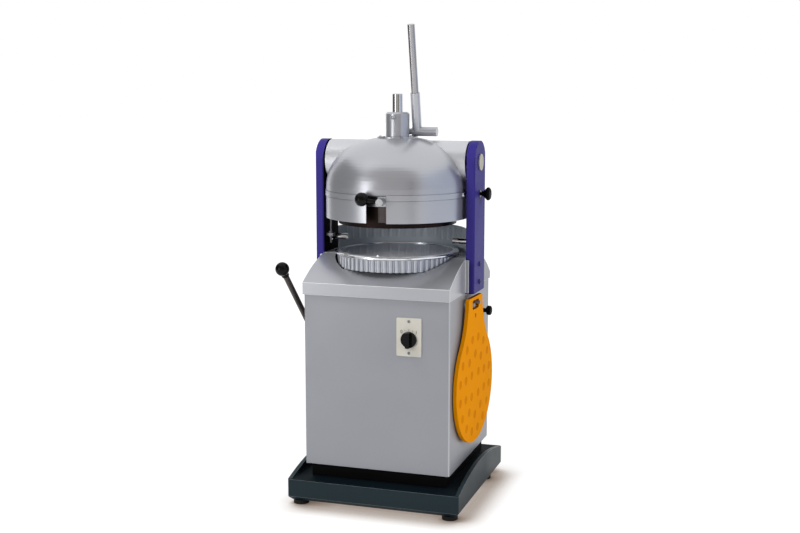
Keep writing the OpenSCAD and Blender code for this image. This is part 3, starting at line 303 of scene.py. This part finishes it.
def plastic(name, dark, light, rough, pebble, bump, specular=0.5):
    """Moulded plastic with a soft pebble and faint handling marks."""
    t = Tree(name)
    slow = t.noise(PLASTIC_TONE, 3.0)
    scuff = t.lines(PLASTIC_SCUFF, 4.0)
    t.colour(t.mix(0.3, t.tones(slow, dark, light), t.tones(scuff, dark, light, high=0.75)))
    t.rough(t.span(scuff, *rough))
    t.put(Metallic=0.0, Specular_IOR_Level=specular)
    t.bump(t.noise(pebble, 2.0), bump, PEEL_DEPTH, PLASTIC_EDGE)
    return t.mat


# Paint without grain or orange peel, and the same with an even sheen
PLAIN = {"speck": 0.0, "bump": 0.0}
SMOOTH = {**PLAIN, "mottle": 0.0}
# Lines across a turned or ground piece, as a stretch of the noise
FINE_LINES = (60.0, 60.0, 600.0)

SILVER = paint("silver_paint", (0.295, 0.305, 0.335), (0.34, 0.35, 0.38), 0.4, (0.38, 0.48),
    1500.0, 420.0, bump=0.04, speck=0.3, edge=0.0)
# Lighter silver for the rounded edges of the covers and the cabinet: a painted highlight along them
SILVER_HIGHLIGHT = paint("silver_painted_highlight", (0.86, 0.87, 0.89), (0.91, 0.92, 0.94), 0.4, (0.30, 0.40), **PLAIN)
# A lighter silver for the cabinet's front corner bend: a painted highlight
SILVER_BEND_HIGHLIGHT = paint("silver_bend_painted_highlight", (0.47, 0.48, 0.51), (0.53, 0.54, 0.57), 0.4, (0.30, 0.40), **PLAIN)
COVER_SILVER = paint("cover_silver", (0.40, 0.41, 0.44), (0.44, 0.45, 0.48), 0.6, (0.29, 0.32),
    **SMOOTH)
HEAD_SILVER = paint("head_silver", (0.46, 0.47, 0.505), (0.51, 0.52, 0.555), 0.75, (0.29, 0.32),
    **SMOOTH)
# A lighter copy of the head's silver for its barrels: painted light that stands in for their bright
# reflection
BARREL_PAINTED_LIGHT = paint("barrel_silver_painted_light", (0.58, 0.59, 0.62), (0.63, 0.64, 0.67), 0.65, (0.34, 0.38), **SMOOTH)
INDIGO = paint("indigo_paint", (0.034, 0.026, 0.182), (0.048, 0.038, 0.245), 0.0, (0.36, 0.46),
    wear=(0.16, 0.15, 0.34), edge=0.0030, specular=0.04)
BOLT_PAINT = paint("bolt_paint", (0.075, 0.078, 0.17), (0.09, 0.093, 0.2), 0.2, (0.4, 0.5),
    specular=0.1)
# Black for the left upright's inner face: painted shade, where that face lies in deep shadow beside
# the head
PAINTED_SHADE_BLACK = paint("painted_shade_black", (0.002, 0.002, 0.0024), (0.004, 0.004, 0.005), 0.0, (0.7, 0.85),
    specular=0.02)
SLATE = paint("slate_paint", (0.008, 0.019, 0.026), (0.014, 0.028, 0.035), 0.0, (0.36, 0.48),
    edge=0.0, specular=0.16)
# Lighter slate for the base's front chamfer and its rounded edges: a painted highlight
SLATE_HIGHLIGHT = paint("slate_painted_highlight", (0.21, 0.26, 0.29), (0.25, 0.30, 0.33), 0.0, (0.3, 0.4), **PLAIN)
# Near-black slate for the deck between the cheeks: painted shade in the recess under the cabinet
DECK_SHADE = paint("deck_painted_shade", (0.0025, 0.0055, 0.008), (0.004, 0.008, 0.011), 0.0, (0.5, 0.62),
    specular=0.04)
FRAME_GREY = paint("frame_paint", (0.035, 0.037, 0.042), (0.055, 0.058, 0.064), 0.1, (0.45, 0.6),
    700.0, 260.0, wear=(0.2, 0.2, 0.2))
GUARD = paint("guard_grey", (0.47, 0.53, 0.59), (0.53, 0.59, 0.65), 0.2, (0.36, 0.46),
    speck=0.2, bump=0.03)
IVORY = paint("ivory_enamel", (0.62, 0.595, 0.53), (0.67, 0.645, 0.58), 0.0, (0.4, 0.5),
    800.0, 300.0, specular=0.3)
CAP = paint("cap_enamel", (0.44, 0.43, 0.35), (0.50, 0.49, 0.40), 0.0, (0.4, 0.5), specular=0.3)

CHROME = metal("bright_steel", (0.66, 0.66, 0.67), (0.78, 0.78, 0.79), (0.05, 0.11),
    (60.0, 60.0, 900.0), 0.02)
BRUSHED = metal("brushed_steel", (0.42, 0.43, 0.45), (0.58, 0.59, 0.61), (0.24, 0.38),
    (40.0, 40.0, 900.0))
TUBE = metal("lever_tube", (0.36, 0.35, 0.36), (0.46, 0.45, 0.46), (0.20, 0.26),
    (60.0, 60.0, 3.0), 0.01, 0.0)
BOLT = metal("dull_bolt", (0.17, 0.17, 0.19), (0.26, 0.26, 0.28), (0.34, 0.48),
    (200.0, 200.0, 200.0))
ALUMINIUM = metal("machined_aluminium", (0.52, 0.53, 0.55), (0.68, 0.69, 0.71), (0.26, 0.4),
    FINE_LINES)
RING = metal("ring_aluminium", (0.52, 0.54, 0.59), (0.60, 0.62, 0.67), (0.42, 0.54), FINE_LINES)
RIM = metal("polished_rim", (0.82, 0.83, 0.86), (0.90, 0.91, 0.94), (0.16, 0.24),
    (900.0, 900.0, 60.0), 0.03)
DARK_STEEL = metal("dark_steel", (0.05, 0.043, 0.041), (0.11, 0.098, 0.095), (0.32, 0.40),
    (60.0, 60.0, 8.0), 0.03)
CHAMBER = metal("dark_chamber", (0.014, 0.009, 0.008), (0.03, 0.021, 0.019), (0.38, 0.52),
    (80.0, 80.0, 700.0))
IRON = metal("cast_iron", (0.05, 0.05, 0.052), (0.09, 0.09, 0.093), (0.5, 0.68),
    (500.0, 500.0, 500.0), 0.3)
BRONZE = metal("bronze", (0.36, 0.22, 0.08), (0.52, 0.34, 0.14), (0.26, 0.4), (60.0, 60.0, 700.0))
TABLE_FACE = turned("turned_table", (0.25, 0.24, 0.285), (0.40, 0.385, 0.445), (0.12, 0.22),
    TABLE_Y, 0.0011)

BLACK = plastic("black_plastic", (0.001, 0.001, 0.0012), (0.003, 0.003, 0.0035), (0.08, 0.16),
    260.0, 0.01, 0.15)
KNOB = plastic("knob_plastic", (0.001, 0.001, 0.0012), (0.003, 0.003, 0.0035), (0.45, 0.6),
    260.0, 0.02, 0.05)
KICK = plastic("black_kick", (0.002, 0.002, 0.002), (0.004, 0.004, 0.004), (0.55, 0.7),
    300.0, 0.1, 0.05)
RUBBER = plastic("black_rubber", (0.008, 0.008, 0.008), (0.015, 0.015, 0.015), (0.6, 0.75),
    520.0, 0.25, 0.2)
INK = plastic("printed_ink", (0.03, 0.03, 0.03), (0.05, 0.05, 0.05), (0.5, 0.6), 600.0, 0.05)
ORANGE = plastic("orange_plastic", (0.97, 0.345, 0.001), (1.0, 0.37, 0.002), (0.5, 0.62),
    420.0, 0.10, 0.02)
# Darker orange for the plate's dimples: painted shade in the hollows
DIMPLE_SHADE = plastic("orange_hollow_painted_shade", (0.78, 0.25, 0.001), (0.85, 0.28, 0.002), (0.5, 0.62),
    420.0, 0.10, 0.02)
# Dark orange for the walls of the grip slot: painted shadow inside the slot
SLOT_SHADE = plastic("orange_shadow", (0.20, 0.05, 0.001), (0.26, 0.07, 0.002), (0.5, 0.62),
    420.0, 0.10, 0.02)

# The finish of each material slot, and of the nodes that differ from their slot's
FINISH = {
    "silver paint": SILVER, "indigo paint": INDIGO, "slate paint": SLATE, "frame paint": FRAME_GREY,
    "bright steel": CHROME, "brushed steel": BRUSHED, "machined aluminium": ALUMINIUM,
    "dark steel": DARK_STEEL, "cast iron": IRON, "bronze": BRONZE, "ivory enamel": IVORY,
    "black plastic": BLACK, "orange plastic": ORANGE, "black rubber": RUBBER,
}
SPECIAL = {
    "head_dome": HEAD_SILVER, "head_skirt": HEAD_SILVER, "head_band": HEAD_SILVER,
    "top_boss": HEAD_SILVER, "press_lever_hub": HEAD_SILVER, "press_lever_tube": TUBE,
    "rounding_table": TABLE_FACE, "chamber_ring": CHAMBER, "fluted_ring": RING, "rear_guard": GUARD,
    "front_cover": COVER_SILVER, "pivot_pins": CAP, "head_stop": BOLT, "lock_guide": DARK_STEEL,
    "lock_plunger": KNOB, "side_knob": KNOB, "plate_peg": BOLT, "toe_kick": KICK,
}


def dress(obj, mat):
    obj.data.materials.clear()
    obj.data.materials.append(mat)


slots = {s["node"]: s["material_slot"] for s in frame["record"]["subparts"]}
for name, obj in nodes.items():
    dress(obj, SPECIAL.get(name) or FINISH[slots[name]])


# Second finishes on some faces of a node

# Least part of a normal along the direction that a face looks in, and the most across it
FACING = 0.9
LEVEL = 0.99
ASIDE = 0.2
ASKEW = 0.02
# Range of that part for a face that leans, as a bend or a chamfer does
LEAN_LOW, LEAN_HIGH = 0.3, 0.95
PLANE_SLACK = 0.0005
DIMPLE_SLACK = 0.0003
RIM_HEIGHT = 0.030
DECK_SLACK = 0.004
BARREL_FROM = 0.12
SLOT_REACH = 0.05

RIM_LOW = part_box("fluted_ring")[1][2] - RIM_HEIGHT
DECK_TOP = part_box("toe_kick")[0][2] + DECK_SLACK
PEG = middle("plate_peg")
plate_faces = [p for p in nodes["moulding_plate"].data.polygons if p.normal.x > FACING]
plate_face = max(plate_faces, key=lambda p: p.area)
PLATE_OUT = plate_face.normal.copy()
PLATE_MID = plate_face.center.copy()


def second_finish(node, mat, picks):
    """Gives the faces of a node that picks chooses another material."""
    mesh = nodes[node].data
    mesh.materials.append(mat)
    for p in mesh.polygons:
        if picks(p):
            p.material_index = len(mesh.materials) - 1


def leans(part):
    return LEAN_LOW < part < LEAN_HIGH


def on_inner_face(p):
    """True for the left upright's face that looks at the head."""
    return p.normal.x > FACING and abs(p.center.x + INNER_X) < PLANE_SLACK


def on_rim(p):
    return p.center.z > RIM_LOW


def on_deck(p):
    return p.normal.z > LEVEL and p.center.z < DECK_TOP


def on_base_chamfer(p):
    return leans(p.normal.z) and p.normal.y < -LEAN_LOW


def on_cabinet_bend(p):
    return leans(p.normal.x) and p.normal.y < -LEAN_LOW


def in_dimple(p):
    """True for a face of the plate that lies below its outer face and looks the same way."""
    depth = (PLATE_MID - p.center).dot(PLATE_OUT)
    return p.normal.dot(PLATE_OUT) > FACING and depth > DIMPLE_SLACK


def in_slot(p):
    """True for a face of the plate that walls its grip slot, which hangs round the peg."""
    reach = math.hypot(p.center.y - PEG.y, p.center.z - PEG.z)
    return abs(p.normal.dot(PLATE_OUT)) < ASIDE and reach < SLOT_REACH


def on_barrel(p):
    """True for a face of the barrels, which lie along X on both sides of the dome."""
    return abs(p.normal.x) < ASKEW and abs(p.center.x) > BARREL_FROM


# The left upright's inner face is painted black as painted shade
second_finish("left_upright", PAINTED_SHADE_BLACK, on_inner_face)
second_finish("fluted_ring", RIM, on_rim)
# The deck's top faces get painted shade
second_finish("base_plinth", DECK_SHADE, on_deck)
# The base's front chamfer gets a painted highlight
second_finish("base_plinth", SLATE_HIGHLIGHT, on_base_chamfer)
# The cabinet's corner bend gets a painted highlight
second_finish("cabinet_shell", SILVER_BEND_HIGHLIGHT, on_cabinet_bend)
# The dimples get painted shade
second_finish("moulding_plate", DIMPLE_SHADE, in_dimple)
# The grip slot's walls get painted shadow
second_finish("moulding_plate", SLOT_SHADE, in_slot)
# The barrels get the lighter silver as painted light
second_finish("head_dome", BARREL_PAINTED_LIGHT, on_barrel)


# Rounded edges on the covers, the cabinet, the base and the castings on the dome

WELD = 0.00001
FLAT_ANGLE = math.radians(0.5)
SHARP_ANGLE = math.radians(40)
BEVEL_STEPS = 3
# Node, width of the rounding, and its finish where that differs from the node's: a lighter paint that
# is a painted highlight along the edge
SOFT_EDGES = (
    ("front_cover", 0.0030, SILVER_HIGHLIGHT), ("rear_cover", 0.0020, SILVER_HIGHLIGHT),
    ("cabinet_shell", 0.0020, SILVER_HIGHLIGHT), ("base_plinth", 0.0034, SLATE_HIGHLIGHT),
    ("top_boss", 0.0016, None), ("press_lever_hub", 0.0016, None),
)


def soften(node, width, highlight_trim):
    """Joins the flat facets of a node and rounds its sharp edges, in the trim finish if any, which is
    a painted highlight.
    """
    obj = nodes[node]
    weld = obj.modifiers.new("weld", "WELD")
    weld.merge_threshold = WELD
    flat = obj.modifiers.new("flat", "DECIMATE")
    flat.decimate_type = "DISSOLVE"
    flat.angle_limit = FLAT_ANGLE
    bevel = obj.modifiers.new("bevel", "BEVEL")
    bevel.width = width
    bevel.segments = BEVEL_STEPS
    bevel.limit_method = "ANGLE"
    bevel.angle_limit = SHARP_ANGLE
    if highlight_trim:
        obj.data.materials.append(highlight_trim)
        bevel.material = len(obj.data.materials) - 1
    obj.modifiers.new("normals", "WEIGHTED_NORMAL")


# Detail pieces

RING_SIDES = 36
SIXTH = math.pi / 3
DOME_STEPS = 6
# Shares of a screw head's radius and height
CHAMFER_SHARE = 0.16
SOCKET_SHARE = 0.55
MOUTH_SHARE = 1.08
MOUTH_DEPTH_SHARE = 0.1
DRILL_SHARE = 0.3
DRILL_DEPTH_SHARE = 1.1
SOCKET_DEPTH_SHARE = 0.6
STUD_RIM_SHARE = 0.2
BOLT_HEAD_H = 0.006
STUD_R = 0.008
STUD_H = 0.006
STUD_SINK = 0.001
STUD_TURN = math.radians(9)


def islands(node):
    """The box of each separate solid in a node."""
    bm = bmesh.new()
    bm.from_mesh(nodes[node].data)
    bmesh.ops.remove_doubles(bm, verts=bm.verts, dist=WELD)
    left = set(bm.verts)
    boxes = []
    while left:
        group = [left.pop()]
        for v in group:
            near = {e.other_vert(v) for e in v.link_edges} & left
            left -= near
            group.extend(near)
        low = Vector(min(v.co[i] for v in group) for i in range(3))
        high = Vector(max(v.co[i] for v in group) for i in range(3))
        boxes.append((low, high))
    bm.free()
    return sorted(boxes, key=lambda b: tuple(b[0]))


def facing(place, axis):
    """A matrix whose Z runs along axis, at that place."""
    turn = Vector(axis).to_track_quat("Z", "Y").to_matrix().to_4x4()
    return Matrix.Translation(place) @ turn


def add_rings(bm, matrix, rings):
    """A closed turned form. Each ring is a radius, a height and whether it is a hexagon."""
    loops = []
    for r, h, is_hex in rings:
        loop = []
        for i in range(RING_SIDES):
            a = 2 * math.pi * i / RING_SIDES
            off_flat = a % SIXTH - SIXTH / 2
            here = r * math.cos(SIXTH / 2) / math.cos(off_flat) if is_hex else r
            point = Vector((here * math.cos(a), here * math.sin(a), h))
            loop.append(bm.verts.new(matrix @ point))
        loops.append(loop)
    for low, high in zip(loops, loops[1:]):
        for i in range(RING_SIDES):
            j = (i + 1) % RING_SIDES
            bm.faces.new((low[i], low[j], high[j], high[i]))
    bm.faces.new(loops[0][::-1])
    bm.faces.new(loops[-1])


def add_socket_screw(bm, place, axis, r, h):
    """A cap head with a chamfered edge and a hexagon socket."""
    chamfer = CHAMFER_SHARE * r
    socket = SOCKET_SHARE * r
    depth = SOCKET_DEPTH_SHARE * h
    add_rings(bm, facing(place, axis), [
        (r, 0, False), (r, h - chamfer, False), (r - chamfer, h, False),
        (socket * MOUTH_SHARE, h, False), (socket, h - MOUTH_DEPTH_SHARE * h, True),
        (socket, h - depth, True), (socket * DRILL_SHARE, h - depth * DRILL_DEPTH_SHARE, True)])


def add_dome_head(bm, place, axis, r, h):
    """A round head with a small straight rim."""
    rim = STUD_RIM_SHARE * h
    rings = [(r, 0, False), (r, rim, False)]
    for i in range(1, DOME_STEPS):
        a = math.pi / 2 * i / DOME_STEPS
        rings.append((r * math.cos(a), rim + (h - rim) * math.sin(a), False))
    add_rings(bm, facing(place, axis), rings)


def finish_piece(bm, name, body, mat, replaced=None, smooth_deg=40):
    mesh = bpy.data.meshes.new(name)
    bmesh.ops.recalc_face_normals(bm, faces=bm.faces)
    bm.to_mesh(mesh)
    bm.free()
    for p in mesh.polygons:
        p.use_smooth = True
    mesh.set_sharp_from_angle(angle=math.radians(smooth_deg))
    obj = bpy.data.objects.new(name, mesh)
    scene.collection.objects.link(obj)
    dress(obj, mat)
    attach(obj, body)
    if replaced:
        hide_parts(replaced)


def boss_head(low, high):
    """Place, axis, radius and height of a screw on the boss flange."""
    mid = (low + high) / 2
    return (mid.x, mid.y, low.z), (0, 0, 1), (high.x - low.x) / 2, high.z - low.z


def upright_head(low, high):
    """The same for the outer end of a bolt through an upright."""
    mid = (low + high) / 2
    side = math.copysign(1, mid.x)
    root = max(abs(low.x), abs(high.x)) - BOLT_HEAD_H
    return (side * root, mid.y, mid.z), (side, 0, 0), (high.y - low.y) / 2, BOLT_HEAD_H


def panel_head(low, high):
    """The same for a screw on the rear panel or the switch plate."""
    mid = (low + high) / 2
    side = math.copysign(1, mid.y)
    root = low.y if side > 0 else high.y
    return (mid.x, root, mid.z), (0, side, 0), (high.x - low.x) / 2, high.y - low.y


def make_heads(name, body, mat, node, head):
    """Socket heads in place of a node's plain ones."""
    bm = bmesh.new()
    for low, high in islands(node):
        add_socket_screw(bm, *head(low, high))
    finish_piece(bm, name, body, mat, node)


def make_band_studs():
    """A bright stud at each end of the band, just in front of the uprights."""
    low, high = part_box("head_band")
    r = (high[0] - low[0]) / 2
    centre = Vector((0, AXIS_Y, (low[2] + high[2]) / 2))
    bm = bmesh.new()
    for turn in (-STUD_TURN, math.pi + STUD_TURN):
        out = Vector((math.cos(turn), math.sin(turn), 0))
        add_dome_head(bm, centre + (r - STUD_SINK) * out, out, STUD_R, STUD_H)
    finish_piece(bm, "band_studs", "head", CHROME)


# Print on the switch plate: widths, heights, and places as shares of the knob's radius
MARK_LIFT = 0.0003
TICK_TURNS_DEG = (-50, -25, 0, 25, 50)
TICK_GAP = 0.006
TICK_SIZE = (0.0012, 0.004)
ONE_SIZE = (0.0016, 0.009)
ZERO_HALF_W, ZERO_HALF_H = 0.0032, 0.0045
ZERO_DASHES = 16
DASH_SIZE = (0.0018, 0.0014)
FIGURE_UP_SHARE = 0.98
FIGURE_OUT_SHARE = 0.95
STRIP_CORNERS = ((-1, -1), (1, -1), (1, 1), (-1, 1))
STRIP_FACES = ((0, 1, 2, 3), (7, 6, 5, 4), (0, 4, 5, 1), (1, 5, 6, 2), (2, 6, 7, 3), (3, 7, 4, 0))


def add_strip(bm, place, size, turn=0.0):
    """A thin printed bar on a face that looks along -Y, turned about that direction."""
    w, h = size
    spin = Matrix.Translation(place) @ Matrix.Rotation(turn, 4, "Y")
    v = [bm.verts.new(spin @ Vector((sx * w / 2, y, sz * h / 2)))
        for y in (0, -MARK_LIFT) for sx, sz in STRIP_CORNERS]
    for f in STRIP_FACES:
        bm.faces.new([v[i] for i in f])


def make_switch_marks():
    """Ticks round the switch, with a plain 0 and 1 above it."""
    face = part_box("switch_plate")[0][1]
    low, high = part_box("switch_knob")
    knob = middle("switch_knob")
    knob_r = (high[0] - low[0]) / 2
    bm = bmesh.new()
    for turn in TICK_TURNS_DEG:
        a = math.radians(turn)
        r = knob_r + TICK_GAP
        place = (knob.x + r * math.sin(a), face, knob.z + r * math.cos(a))
        add_strip(bm, place, TICK_SIZE, a)
    top = knob.z + knob_r * FIGURE_UP_SHARE
    shift = knob_r * FIGURE_OUT_SHARE
    add_strip(bm, (knob.x + shift, face, top), ONE_SIZE)
    for i in range(ZERO_DASHES):
        a = 2 * math.pi * i / ZERO_DASHES
        x, z = ZERO_HALF_W * math.sin(a), ZERO_HALF_H * math.cos(a)
        along = math.atan2(ZERO_HALF_H * math.sin(a), ZERO_HALF_W * math.cos(a))
        add_strip(bm, (knob.x - shift + x, face, top + z), DASH_SIZE, along)
    finish_piece(bm, "switch_marks", "base", INK, smooth_deg=10)


make_heads("boss_cap_screws", "head", BOLT, "boss_screws", boss_head)
make_heads("upright_bolt_heads", "base", BOLT_PAINT, "upright_bolts", upright_head)
make_heads("panel_screw_heads", "base", BOLT, "panel_screws", panel_head)
make_band_studs()
make_switch_marks()
for edge in SOFT_EDGES:
    soften(*edge)


# Floor, backdrop and light

WHITE = (1.0, 1.0, 1.0)
FLOOR_SIZE = 80.0
FLOOR_COLOUR = (0.8, 0.79, 0.78, 1.0)
FLOOR_GLOW = 1.12
# The direction in which the floor looks for what shades it, how far, and in how many rays
SHADOW_LEAN = (-0.42, 0.38, 0.82)
SHADOW_REACH = 0.115
SHADOW_RAYS = 24
SHADOW_TONES = [(0.15, (0.05, 0.034, 0.025)), (0.5, (0.30, 0.235, 0.19)),
    (0.78, (0.82, 0.79, 0.77)), (0.95, WHITE)]
# Distances from the middle between which the shadow ends, and the glow's share on both sides
SHADOW_END = (0.8, 2.0)
GLOW_SHARES = (0.85, 1.0)
# Strength of the backdrop as a light, and as it is seen
WORLD_LIGHT = 0.235
WORLD_SEEN = 1.0


def make_floor():
    """White all round, with a soft warm shadow that falls to the front and the right."""
    bpy.ops.mesh.primitive_plane_add(size=FLOOR_SIZE, location=(0, 0, 0))
    floor = bpy.context.object
    floor.name = "floor"
    t = Tree("floor_white")
    t.nt.nodes.remove(t.shader)
    shade = t.add("ShaderNodeAmbientOcclusion", samples=SHADOW_RAYS)
    shade.inputs["Distance"].default_value = SHADOW_REACH
    lean = t.add("ShaderNodeCombineXYZ")
    for socket, value in zip(lean.inputs, SHADOW_LEAN):
        socket.default_value = value
    t.link(lean.outputs[0], shade.inputs["Normal"])
    tone = t.ramp(shade.outputs["AO"], SHADOW_TONES)
    away = t.span(t.radius(0.0), 0.0, 1.0, *SHADOW_END)
    glow = t.add("ShaderNodeEmission")
    glow.inputs["Strength"].default_value = FLOOR_GLOW
    t.link(t.mix(away, tone, WHITE), glow.inputs["Color"])
    diffuse = t.add("ShaderNodeBsdfDiffuse")
    diffuse.inputs["Color"].default_value = FLOOR_COLOUR
    path = t.add("ShaderNodeLightPath")
    seen = t.maths("MAXIMUM", path.outputs["Is Camera Ray"],
        t.maths("MAXIMUM", path.outputs["Is Glossy Ray"], path.outputs["Is Transmission Ray"]))
    share = t.maths("MULTIPLY", seen, t.span(away, *GLOW_SHARES, 0.0, 1.0))
    either = t.add("ShaderNodeMixShader")
    for source, socket in zip((share, diffuse.outputs[0], glow.outputs[0]), either.inputs):
        t.link(source, socket)
    t.link(either.outputs[0], t.nt.nodes["Material Output"].inputs["Surface"])
    floor.data.materials.append(t.mat)


def make_world():
    """A backdrop that is white to look at and in reflections, and dimmer as a light."""
    world = bpy.data.worlds.new("studio")
    scene.world = world
    world.use_nodes = True
    nt = world.node_tree
    back = nt.nodes["Background"]
    path = nt.nodes.new("ShaderNodeLightPath")
    either = nt.nodes.new("ShaderNodeMath")
    either.operation = "MAXIMUM"
    seen = nt.nodes.new("ShaderNodeMath")
    seen.operation = "MAXIMUM"
    nt.links.new(path.outputs["Is Glossy Ray"], either.inputs[0])
    nt.links.new(path.outputs["Is Transmission Ray"], either.inputs[1])
    nt.links.new(path.outputs["Is Camera Ray"], seen.inputs[0])
    nt.links.new(either.outputs[0], seen.inputs[1])
    level = nt.nodes.new("ShaderNodeMapRange")
    level.inputs["To Min"].default_value = WORLD_LIGHT
    level.inputs["To Max"].default_value = WORLD_SEEN
    nt.links.new(seen.outputs[0], level.inputs["Value"])
    nt.links.new(level.outputs["Result"], back.inputs["Strength"])
    back.inputs["Color"].default_value = (*WHITE, 1.0)


def aimed(place, aim):
    return (Vector(aim) - Vector(place)).to_track_quat("-Z", "Y").to_euler()


def area_light(name, place, aim, size, power, mirrored):
    data = bpy.data.lights.new(name, "AREA")
    data.shape = "RECTANGLE"
    data.size, data.size_y = size
    data.energy = power
    obj = bpy.data.objects.new(name, data)
    obj.location = place
    obj.rotation_euler = aimed(place, aim)
    obj.visible_glossy = mirrored
    scene.collection.objects.link(obj)


def dark_card(name, place, aim, size, colour):
    """A dark sheet that only shows in reflections, as in a studio."""
    bpy.ops.mesh.primitive_plane_add(size=1.0, location=place, rotation=aimed(place, aim))
    card = bpy.context.object
    card.name = name
    card.scale = (*size, 1.0)
    t = Tree(name)
    t.nt.nodes.remove(t.shader)
    glow = t.add("ShaderNodeEmission")
    glow.inputs["Color"].default_value = (*colour, 1.0)
    t.link(glow.outputs[0], t.nt.nodes["Material Output"].inputs["Surface"])
    card.data.materials.append(t.mat)
    card.visible_camera = False
    card.visible_diffuse = False
    card.visible_shadow = False
    card.visible_transmission = False


# Name, place, aim, size, power in watts, and whether it shows in reflections
LIGHTS = (
    ("key", (3.6, -0.8, 2.7), (0, 0, 0.8), (1.6, 2.2), 72, False),
    ("top", (-1.3, -1.1, 3.3), (0, 0, 0.9), (1.0, 1.0), 52, False),
    ("front", (-0.9, -2.1, 1.35), (0, -0.1, 0.85), (0.8, 0.8), 14, False),
    ("strip", (-2.5, -3.9, 1.3), (0, 0, 1.0), (0.8, 2.4), 23, True),
)
# Name, place, aim, size and colour
CARDS = (
    ("dark_front", (0.8, -6.2, 5.3), (0, 0, 5.3), (14.0, 10.0), (0.42, 0.40, 0.39)),
    ("dark_left", (-4.2, -0.6, 2.4), (0, 0, 2.4), (6.0, 4.4), (0.10, 0.097, 0.10)),
    ("cool_right", (5.0, 0.4, 2.4), (0, 0, 2.4), (7.0, 4.4), (0.56, 0.62, 0.76)),
    ("flag_right", (3.5, -4.2, 1.6), (0, 0, 1.4), (0.7, 3.4), (0.03, 0.028, 0.028)),
)

make_floor()
make_world()
for light in LIGHTS:
    area_light(*light)
for card in CARDS:
    dark_card(*card)
